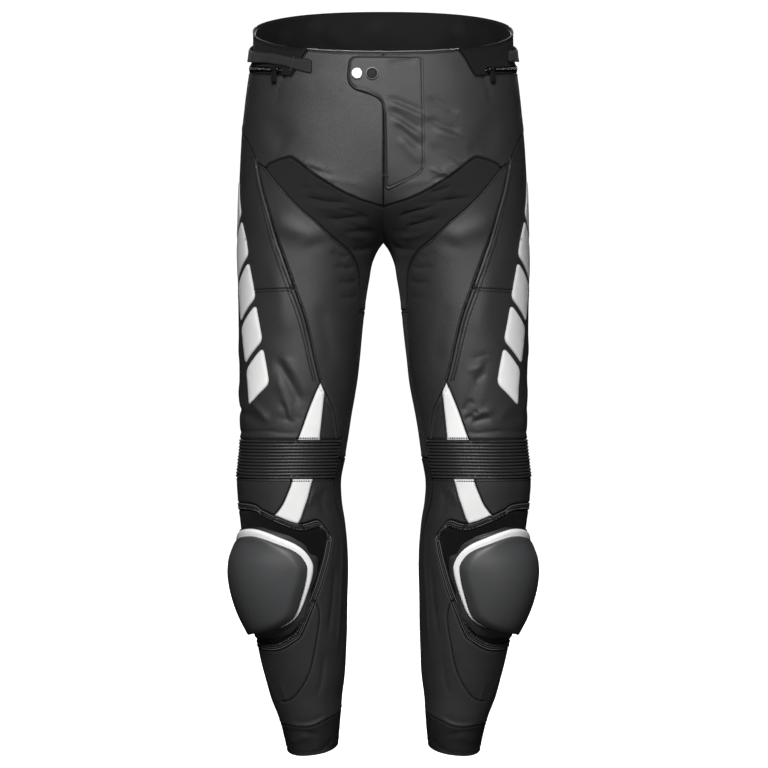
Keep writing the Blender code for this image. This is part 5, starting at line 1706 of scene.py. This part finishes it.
def row_tree(title, body, **sizes):
    tree = bpy.data.node_groups.new(title, "GeometryNodeTree")
    add_socket = tree.interface.new_socket
    add_socket("Geometry", in_out="INPUT", socket_type="NodeSocketGeometry")
    for name, value in ROW_SIZES:
        add_socket(name, in_out="INPUT", socket_type="NodeSocketFloat").default_value = value
    add_socket("Finish", in_out="INPUT", socket_type="NodeSocketMaterial")
    add_socket("Geometry", in_out="OUTPUT", socket_type="NodeSocketGeometry")
    new = tree.nodes.new
    given, result = new("NodeGroupInput"), new("NodeGroupOutput")
    along, flat = (new("FunctionNodeAlignRotationToVector") for _ in range(2))
    along.axis, flat.axis, flat.pivot_axis = "X", "Z", "X"
    line, evenly, tangent, out, small, moved, put, real, dye = (new("GeometryNode" + kind) for kind in (
        "MeshToCurve", "ResampleCurve", "InputTangent", "InputNamedAttribute", "Mesh" + body, "Transform",
        "InstanceOnPoints", "RealizeInstances", "SetMaterial"))
    evenly.mode, out.data_type = "LENGTH", "FLOAT_VECTOR"
    out.inputs["Name"].default_value = "out"
    for name, value in sizes.items():
        small.inputs[name].default_value = value
    ahead, step, offset, size = (new("ShaderNode" + kind) for kind in (
        "Math", "Math", "CombineXYZ", "CombineXYZ"))
    ahead.operation, step.operation = "MULTIPLY", "DIVIDE"
    for source, output, target, given_to in (
            (given, "Geometry", line, "Mesh"), (line, "Curve", evenly, "Curve"),
            (given, "Pitch", evenly, "Length"), (evenly, "Curve", put, "Points"),
            (given, "Pitch", ahead, 0), (given, "Shift", ahead, 1), (ahead, 0, step, 0),
            (given, "Long", step, 1), (step, 0, offset, "X"), (offset, "Vector", moved, "Translation"),
            (small, "Mesh", moved, "Geometry"), (moved, "Geometry", put, "Instance"),
            (tangent, "Tangent", along, "Vector"), (along, "Rotation", flat, "Rotation"),
            (out, "Attribute", flat, "Vector"), (flat, "Rotation", put, "Rotation"),
            (given, "Long", size, "X"), (given, "Wide", size, "Y"), (given, "High", size, "Z"),
            (size, "Vector", put, "Scale"), (put, "Instances", real, "Geometry"),
            (real, "Geometry", dye, "Geometry"), (given, "Finish", dye, "Material"),
            (dye, "Geometry", result, "Geometry")):
        tree.links.new(source.outputs[output], target.inputs[given_to])
    return tree


STITCH = row_tree("stitch_row", "IcoSphere", Radius=0.5, Subdivisions=1)
HOLE = row_tree("hole_row", "UVSphere", Radius=0.5, Segments=6, Rings=2)
TOOTH = row_tree("tooth_row", "Cube", Size=(1, 1, 1))

# %% Running a tree on lines
def run_tree(name, lines, tree, finish, **inputs):
    """Runs a tree on lines of (points, outward directions) and keeps the result as a plain mesh piece."""
    guide = guide_of(lines)
    step = guide.modifiers.new("made", "NODES")
    step.node_group = tree
    ids = {item.name: item.identifier for item in tree.interface.items_tree if item.in_out == "INPUT"}
    for title, value in {**inputs, "Finish": MATERIALS[finish]}.items():
        step[ids[title]] = value
    bpy.context.view_layer.update()
    ready = guide.evaluated_get(bpy.context.evaluated_depsgraph_get())
    mesh = bpy.data.meshes.new_from_object(ready)
    bpy.data.objects.remove(guide)
    mesh.name = name
    mesh.shade_smooth()
    PIECES[name] = new_object(name, mesh)
    keep(name, finish)
    print(name, len(mesh.polygons), "faces")


def guide_of(lines):
    """Loose edges through rows of points, with their outward directions as an attribute."""
    points, outs, edges = [], [], []
    for row, normals in lines:
        first = sum(len(p) for p in points)
        points.append(row)
        outs.append(normals)
        edges += [(first + k, first + k + 1) for k in range(len(row) - 1)]
    mesh = bpy.data.meshes.new("guide")
    mesh.from_pydata([tuple(p) for p in np.vstack(points) * MM], edges, [])
    layer = mesh.attributes.new("out", "FLOAT_VECTOR", "POINT")
    layer.data.foreach_set("vector", np.vstack(outs).astype(np.float32).ravel())
    return new_object("guide", mesh)


# %% Where the seams are sewn
STITCH_LIFT = 0.1
INSEAM_BACK = SEAM_LINES["inseam"] + (FLAT_WIDTH, 0)
HEM_ROW, WAIST_ROW = PATTERN_LINES["hem_edge"], PATTERN_LINES["waist_edge"]
WELT_END = -466.0  # above the white stripe
STITCHES = (
    # seam, distance to its left
    ("diagonal", -2.2), ("diagonal", 7.2), ("cross", 2.0), ("cross", -2.0), ("hip", 2.2), ("apron_low", 2.2),
    ("outseam", 2.2), ("outseam", -2.2), ("inseam", 2.2), ("ribs_top", 2.4), ("ribs_low", -2.4),
    ("tongue", 2.0), ("cuff_seam", 2.2), ("knee_back", 2.2), ("knee_back", -2.2), ("inner_back", 2.2),
    ("inner_back", -2.2), ("waist_low", 2.0), ("waist_low", -2.0), ("apron_side", -2.0),
    ("stripe_thigh_inner", -1.8), ("stripe_thigh_outer", 1.8), ("stripe_shin_inner", -1.8),
    ("stripe_shin_outer", 1.8), ("gusset_low_front", -2.0), ("gusset_low_back", -2.0),
    ("centre_back", 2.2), ("patch_top", 9.2), ("patch_side", 9.2),
)


def on_top(places, height, lift=STITCH_LIFT):
    """Points on a laid piece of that height at places measured from the border, and outward directions."""
    points, normals = on_form(places)
    return points + normals * (slow_at(places, points) + height + lift)[:, None], normals


def on_panels(places):
    """The same on the panels' own outer face."""
    mirrored = on_form(places)[0] * np.where(places[:, :1] < 0, (-1, 1, 1), (1, 1, 1))
    return on_top(places, rolled(*to_seams(mirrored)) + ribbed(own_places(places))[0])


def seam_rows(side):
    rows = [resample(beside(SEAM_LINES[name], distance), 2.0) for name, distance in STITCHES]
    rows[:2] = [row[row[:, 1] > WELT_END] for row in rows[:2]]
    rows += [resample(beside(INSEAM_BACK, -2.2), 2.0), resample(beside(HEM_ROW, 7.0), 2.0)]
    above = WAIST_ROW[WAIST_ROW[:, 0] > SEAM_LINES["apron_side"][0, 0]]
    rows.append(resample(beside(above, -4.0), 2.0))
    for row in rows:
        row = row[inside(row, 0.4)]
        if len(row) > 3:
            yield on_panels(on_side(row, side))


def shield_rows():
    once_round = resample(beside(shield_edge, EDGE_ROW, closed=True), 2.0, closed=True)
    yield on_top(once_round, shield_top(EDGE_ROW, once_round))

# %% The turned edge of the front
FRONT_TOP = WAIST_ROW[WAIST_ROW[:, 0] <= SEAM_LINES["apron_side"][0, 0]]
HEM_AT, ROLL_RADIUS, ROLL_SIDES = -4.6, 1.0, 8


def hem_rows():
    """The front's top edge is turned over and held by stitches that lie across it."""
    for side in (1, -1):
        row = resample(beside(FRONT_TOP, HEM_AT), 2.0)
        yield on_panels(on_side(row[inside(row, 0.4)], side))


def ring_faces(rings, steps, closed=False):
    """Triangles between rings of that many points; a closed row of rings ends where it starts."""
    faces = []
    for ring in range(rings if closed else rings - 1):
        a, b = ring * steps, (ring + 1) % rings * steps
        for k in range(steps):
            n = (k + 1) % steps
            faces += [(a + k, a + n, b + n), (a + k, b + n, b + k)]
    return faces


def waist_roll(side):
    """The fold of that edge, a soft roll along the top of the front."""
    row = resample(FRONT_TOP, 2.5) - (0, 1.0)
    places = on_side(row, side)
    points, normals = on_form(places)
    points = points + normals * (slow_at(places, points) + 0.6)[:, None]
    ahead = unit(np.gradient(points, axis=0))
    up = unit(np.cross(ahead, normals))
    angles = np.arange(ROLL_SIDES) / ROLL_SIDES * 2 * math.pi
    rings = (points[:, None] + ROLL_RADIUS * (np.cos(angles)[None, :, None] * normals[:, None]
                                              + np.sin(angles)[None, :, None] * up[:, None]))
    faces = ring_faces(len(row), ROLL_SIDES)
    last = (len(row) - 1) * ROLL_SIDES
    for j in range(1, ROLL_SIDES - 1):
        faces += [(0, j + 1, j), (last, last + j, last + j + 1)]
    return rings.reshape(-1, 3), np.array(faces)

# %% Bar tacks, and all rows sewn
def bar_rows():
    """Bar tacks: stitches laid side by side where a seam has to hold."""
    for ends, lift in ((((-1, -202), (7, -203)), FREE_LIFT), (((-116, -46), (-121, -64)), 1.9),
                       (((46, -196), (52, -193)), SEWN_LIFT)):
        yield on_top(resample(signed_places(ends), 0.5), lift)


sewing = [row for side in (1, -1) for row in seam_rows(side)] + list(shield_rows())
half = len(sewing) // 2
for title, rows in (("left", sewing[:half]), ("right", sewing[half:])):
    run_tree(f"stitches_{title}", rows, STITCH, "thread", Long=0.0021, Wide=0.0007, High=0.0007)
    # dots of painted shade between the stitches, where the needle holes are
    run_tree(f"needle_holes_{title}", rows, HOLE, "painted_hole_shade", Long=0.0019, Wide=0.0023, Shift=0.5)
for side, label in BOTH_SIDES.items():
    make_mesh(f"waist_roll_{label}", *waist_roll(side), smooth_angle=60)
    keep(f"waist_roll_{label}", "rolled_cowhide")
# the hem row uses the same near-black dots, wide across the row
run_tree("hem_stitches", list(hem_rows()), HOLE, "painted_hole_shade", Long=0.0017, Wide=0.0030)
run_tree("bar_tacks", list(bar_rows()), STITCH, "thread", Pitch=0.0006, Long=0.0006, Wide=0.0026)

# %% Zip teeth
TEETH_AT = 0.9
for side, label in BOTH_SIDES.items():
    for row, way, shift in (("upper", 1, 0.0), ("lower", -1, 0.5)):
        places = on_side(beside(resample(ZIP_LINE, 2.4), way * TEETH_AT), side)
        run_tree(f"teeth_{label}_{row}", [on_top(places, TAPE_TOP, 0.3)], TOOTH, "zip_nickel",
                 Pitch=0.0024, Long=0.0011, Wide=0.0019, High=0.0009, Shift=shift)

# %% [markdown]
# ## Buttons and zip sliders
# Trim is turned or moulded. It is made from a few sizes and set on the cloth, where each place gives its
# own directions along the cloth, up it and out of it.

# %% Setting trim on the cloth
TURN_STEPS = 40


def seat(x, z, lift):
    """The point that far above the cloth at the place seen at x and z, and directions along, up and out."""
    places = signed_places([(x, z)])
    points, normals = on_form(places)
    along = unit(np.cross((0, 0, 1), normals[0]))
    point = points[0] + normals[0] * (slow_at(places, points)[0] + lift)
    return point, np.array([along, np.cross(normals[0], along), normals[0]])


def set_trim(name, shape, origin, axes, finish, *nodes):
    points, faces = shape
    make_mesh(name, origin + points @ axes, faces, smooth_angle=30)
    keep(name, finish, *nodes)


def turned(profile, ring=False):
    """A turned piece from (radius, height) rows; a ring's rows close on themselves."""
    angles = np.arange(TURN_STEPS) / TURN_STEPS * 2 * math.pi
    points = np.array([(r * c, r * s, h) for r, h in profile for c, s in zip(np.cos(angles), np.sin(angles))])
    return points, np.array(ring_faces(len(profile), TURN_STEPS, ring))


def arrays_of(made):
    """The points and triangles of a mesh in the making, which is then freed."""
    bmesh.ops.triangulate(made, faces=made.faces[:])
    made.verts.index_update()
    points = np.array([corner.co[:] for corner in made.verts])
    faces = np.array([[corner.index for corner in face.verts] for face in made.faces])
    made.free()
    return points, faces


def add_block(made, size, centre, bevel):
    """A box with rounded edges."""
    corners = bmesh.ops.create_cube(made, size=1.0)["verts"]
    for corner in corners:
        corner.co = Vector([c + s * k for c, s, k in zip(centre, size, corner.co)])
    edges = list(dict.fromkeys(edge for corner in corners for edge in corner.link_edges))
    bmesh.ops.bevel(made, geom=edges, offset=bevel, segments=2, profile=0.5, affect="EDGES")


def joined(*shapes):
    points, faces, count = [], [], 0
    for more, others in shapes:
        points.append(more)
        faces.append(others + count)
        count += len(more)
    return np.vstack(points), np.vstack(faces)


# %% The two buttons
CAP = ((0.01, 0.0), (6.6, 0.0), (7.2, 0.35), (7.5, 1.1), (7.45, 1.7), (7.0, 2.25), (6.2, 2.55), (3.5, 2.75),
       (0.01, 2.8))
DISH = ((0.01, 0.0), (7.0, 0.0), (7.6, 0.4), (7.7, 1.0), (7.0, 1.75), (5.6, 1.7), (5.3, 1.35), (5.0, 1.7),
        (2.5, 1.9), (0.01, 1.95))
RIM = ((7.0, 1.5), (7.9, 1.3), (8.1, 1.9), (7.8, 2.45), (7.3, 2.5), (6.9, 2.1))
point, axes = seat(-34.1, -71.0, FREE_LIFT + 0.3)
set_trim("button_bright", turned(CAP), point, axes, "bright_nickel", "snap_bright")
point, axes = seat(-14.5, -71.2, FREE_LIFT + 0.3)
set_trim("button_dark", turned(DISH), point, axes, "dark_enamel", "snap_dark")
set_trim("button_rim", turned(RIM, ring=True), point, axes, "worn_nickel")

# %% The zip sliders and their pulls
PIN_HEIGHT = 5.0
PIN = ((0.01, -3.6), (0.7, -3.6), (0.7, 3.6), (0.01, 3.6))
EYE = ((1.05, -2.1), (1.9, -2.1), (2.1, -1.8), (2.1, 1.8), (1.9, 2.1), (1.05, 2.1))
ALONG_AXIS = np.array([(0, 1, 0), (0, 0, 1), (1, 0, 0)], float)  # turns a turned piece to lie along x


def slider_shape():
    """Two plates with the teeth between them, and ears that hold the pin."""
    made = bmesh.new()
    add_block(made, (11.0, 7.4, 1.1), (0, 0, 2.0), 0.4)
    add_block(made, (10.4, 6.8, 2.4), (0, 0, 0.4), 0.5)
    for x in (-3.1, 3.1):
        add_block(made, (1.0, 2.4, 3.6), (x, 0, 4.1), 0.35)
    points, faces = turned(PIN)
    return joined(arrays_of(made), (points @ ALONG_AXIS + (0, 0, PIN_HEIGHT), faces))


def pull_shape():
    """An eye on the pin, a neck and a tab with a raised rim, hanging down from the pin."""
    made = bmesh.new()
    add_block(made, (4.2, 1.2, 3.6), (0, 0, -2.9), 0.3)
    add_block(made, (8.3, 1.3, 13.2), (0, 0, -10.1), 0.5)
    for x, z, wide, tall in ((-3.5, -10.1, 0.9, 11.6), (3.5, -10.1, 0.9, 11.6), (0, -4.5, 7.0, 0.9),
                             (0, -15.6, 7.0, 0.9)):
        add_block(made, (wide, 1.9, tall), (x, 0, z), 0.25)
    points, faces = turned(EYE, ring=True)
    return joined(arrays_of(made), (points @ ALONG_AXIS, faces))


BODIES = {}
for joint in frame["joints"]:
    label = "left" if joint["pos_m"][0] > 0 else "right"
    hinge, along = np.array(joint["pos_m"]) / MM, -np.array(joint["axis"])
    _, axes = seat(hinge[0], hinge[2], 0.0)
    set_trim(f"slider_body_{label}", slider_shape(), hinge - axes[2] * PIN_HEIGHT, axes, "zip_nickel",
             f"zip_slider_{label}")
    away = np.cross(along, (0, 0, 1))
    set_trim(f"pull_tab_{label}", pull_shape(), hinge, np.array([along, -away, (0, 0, 1)]), "black_nickel",
             f"zip_pull_{label}")
    BODIES[f"pull_tab_{label}"] = joint["child"]

# %% [markdown]
# ## Light, floor and camera
# A product photograph on white: one broad soft light from the upper front, a weaker one from each side
# for a gloss along the legs, and a pale world. The floor is a sheet that curves up behind, far enough
# away to stay even.

# %% The studio
FLOOR_LEVEL = -0.995
BEND_FROM, BEND = 5.5, 2.0  # where the floor starts to curve up, and the curve's radius
CAMERA_AT = Vector((0.0, -3.6, -0.473))
VIEW_HALF_WIDTH = 0.5146  # of what the picture takes in at the plane y = 0
PICTURE_SHIFT = 0.0009


def add_floor():
    """A pale floor that curves up behind the trousers."""
    profile = [(y, FLOOR_LEVEL) for y in np.linspace(-7.0, BEND_FROM, 6)]
    for angle in np.linspace(0, math.pi / 2, 17)[1:]:
        profile.append((BEND_FROM + BEND * math.sin(angle), FLOOR_LEVEL + BEND * (1 - math.cos(angle))))
    profile.append((BEND_FROM + BEND, FLOOR_LEVEL + 6.0))
    made = bmesh.new()
    rows = [[made.verts.new((x, y, z)) for y, z in profile] for x in (-8.0, 8.0)]
    for k in range(len(profile) - 1):
        made.faces.new((rows[0][k], rows[1][k], rows[1][k + 1], rows[0][k + 1]))
    mesh = bpy.data.meshes.new("studio_floor")
    made.to_mesh(mesh)
    made.free()
    mesh.shade_smooth()
    floor = new_object("studio_floor", mesh)
    floor.data.materials.append(pale_paper())
    floor.visible_diffuse = floor.visible_glossy = False  # black flags keep its glare off the leather

# %% Paper, lamps and world
def pale_paper():
    made, tree, shader = new_material("pale_paper")
    grain = add_node(tree, "TexNoise", Scale=3.0)
    feed(shader, Base_Color=ramp(grain.outputs["Fac"], (0.0, 0.90), (1.0, 0.93)), Roughness=0.9,
         Emission_Color=(1, 1, 1, 1), Emission_Strength=0.9)
    return made


def add_area(name, place, aim, size, watts):
    data = bpy.data.lights.new(name, "AREA")
    data.shape, data.size, data.size_y, data.energy = "RECTANGLE", size[0], size[1], watts
    light = new_object(name, data)
    light.location = place
    light.rotation_euler = (Vector(aim) - Vector(place)).to_track_quat("-Z", "Y").to_euler()


def add_world(strength):
    """Pale all round; what the camera sees of it is white."""
    world = bpy.data.worlds.new("studio")
    world.use_nodes = True
    camera_ray = add_node(world.node_tree, "LightPath").outputs["Is Camera Ray"]
    mix = add_node(world.node_tree, "Mix", A=strength, B=1.0, Factor=camera_ray)
    feed(world.node_tree.nodes["Background"], Strength=mix.outputs["Result"], Color=(1, 1, 1, 1))
    bpy.context.scene.world = world

# %% Lamps and camera
add_floor()
add_world(0.024)
bpy.context.scene.view_settings.view_transform = "Standard"
add_area("key", (-0.3, -3.8, 1.9), (0, 0, -0.4), (1.2, 1.4), 214)
add_area("low_fill", (0.4, -3.8, -0.6), (0, 0, -0.6), (1.2, 0.8), 26)
add_area("back_key", (0, 3.2, 2.8), (0, 0, -0.4), (1.6, 1.2), 150)
add_area("rear_left", (1.0, 3.4, 1.3), (0, 0, -0.5), (1.0, 1.6), 13)
add_area("rear_right", (-1.0, 3.4, 1.3), (0, 0, -0.5), (1.0, 1.6), 13)

lens = bpy.data.cameras.new("photo_view")
lens.sensor_width = 36.0
lens.lens = lens.sensor_width / 2 / (VIEW_HALF_WIDTH / -CAMERA_AT.y)
camera = new_object("photo_view", lens)
camera.location = CAMERA_AT
camera.rotation_euler = (math.pi / 2, 0, 0)
camera.data.shift_x = PICTURE_SHIFT
bpy.context.scene.camera = camera
print("camera", round(lens.lens, 1), "mm lens")

# %% [markdown]
# ## Handing the pieces to the frame
# Each piece rides on its body, stands for its coarse solid, and says which finish it has. Cloth pieces
# also state the blank that they are cut from.

# %% Bodies, finishes and blanks
CLOTH_FINISHES = ("cowhide", "white_cowhide", "rib_cowhide", "cuff_cowhide", "stretch_weave", "waist_weave",
                  "loop_pile", "binding_tape", "strap_webbing", "zip_tape", "white_applique", "waist_lining")
for name, piece in PIECES.items():
    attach(piece, BODIES.get(name, "root"))
    piece.data.materials.clear()
    piece.data.materials.append(MATERIALS[FINISHES[name]])
    if NODES[name]:
        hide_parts(*NODES[name])
    if FINISHES[name] in CLOTH_FINISHES:
        width, length, area = piece["blank"]
for name, node in frame["nodes"].items():
    if not node.hide_render:
        print("still shown:", name)
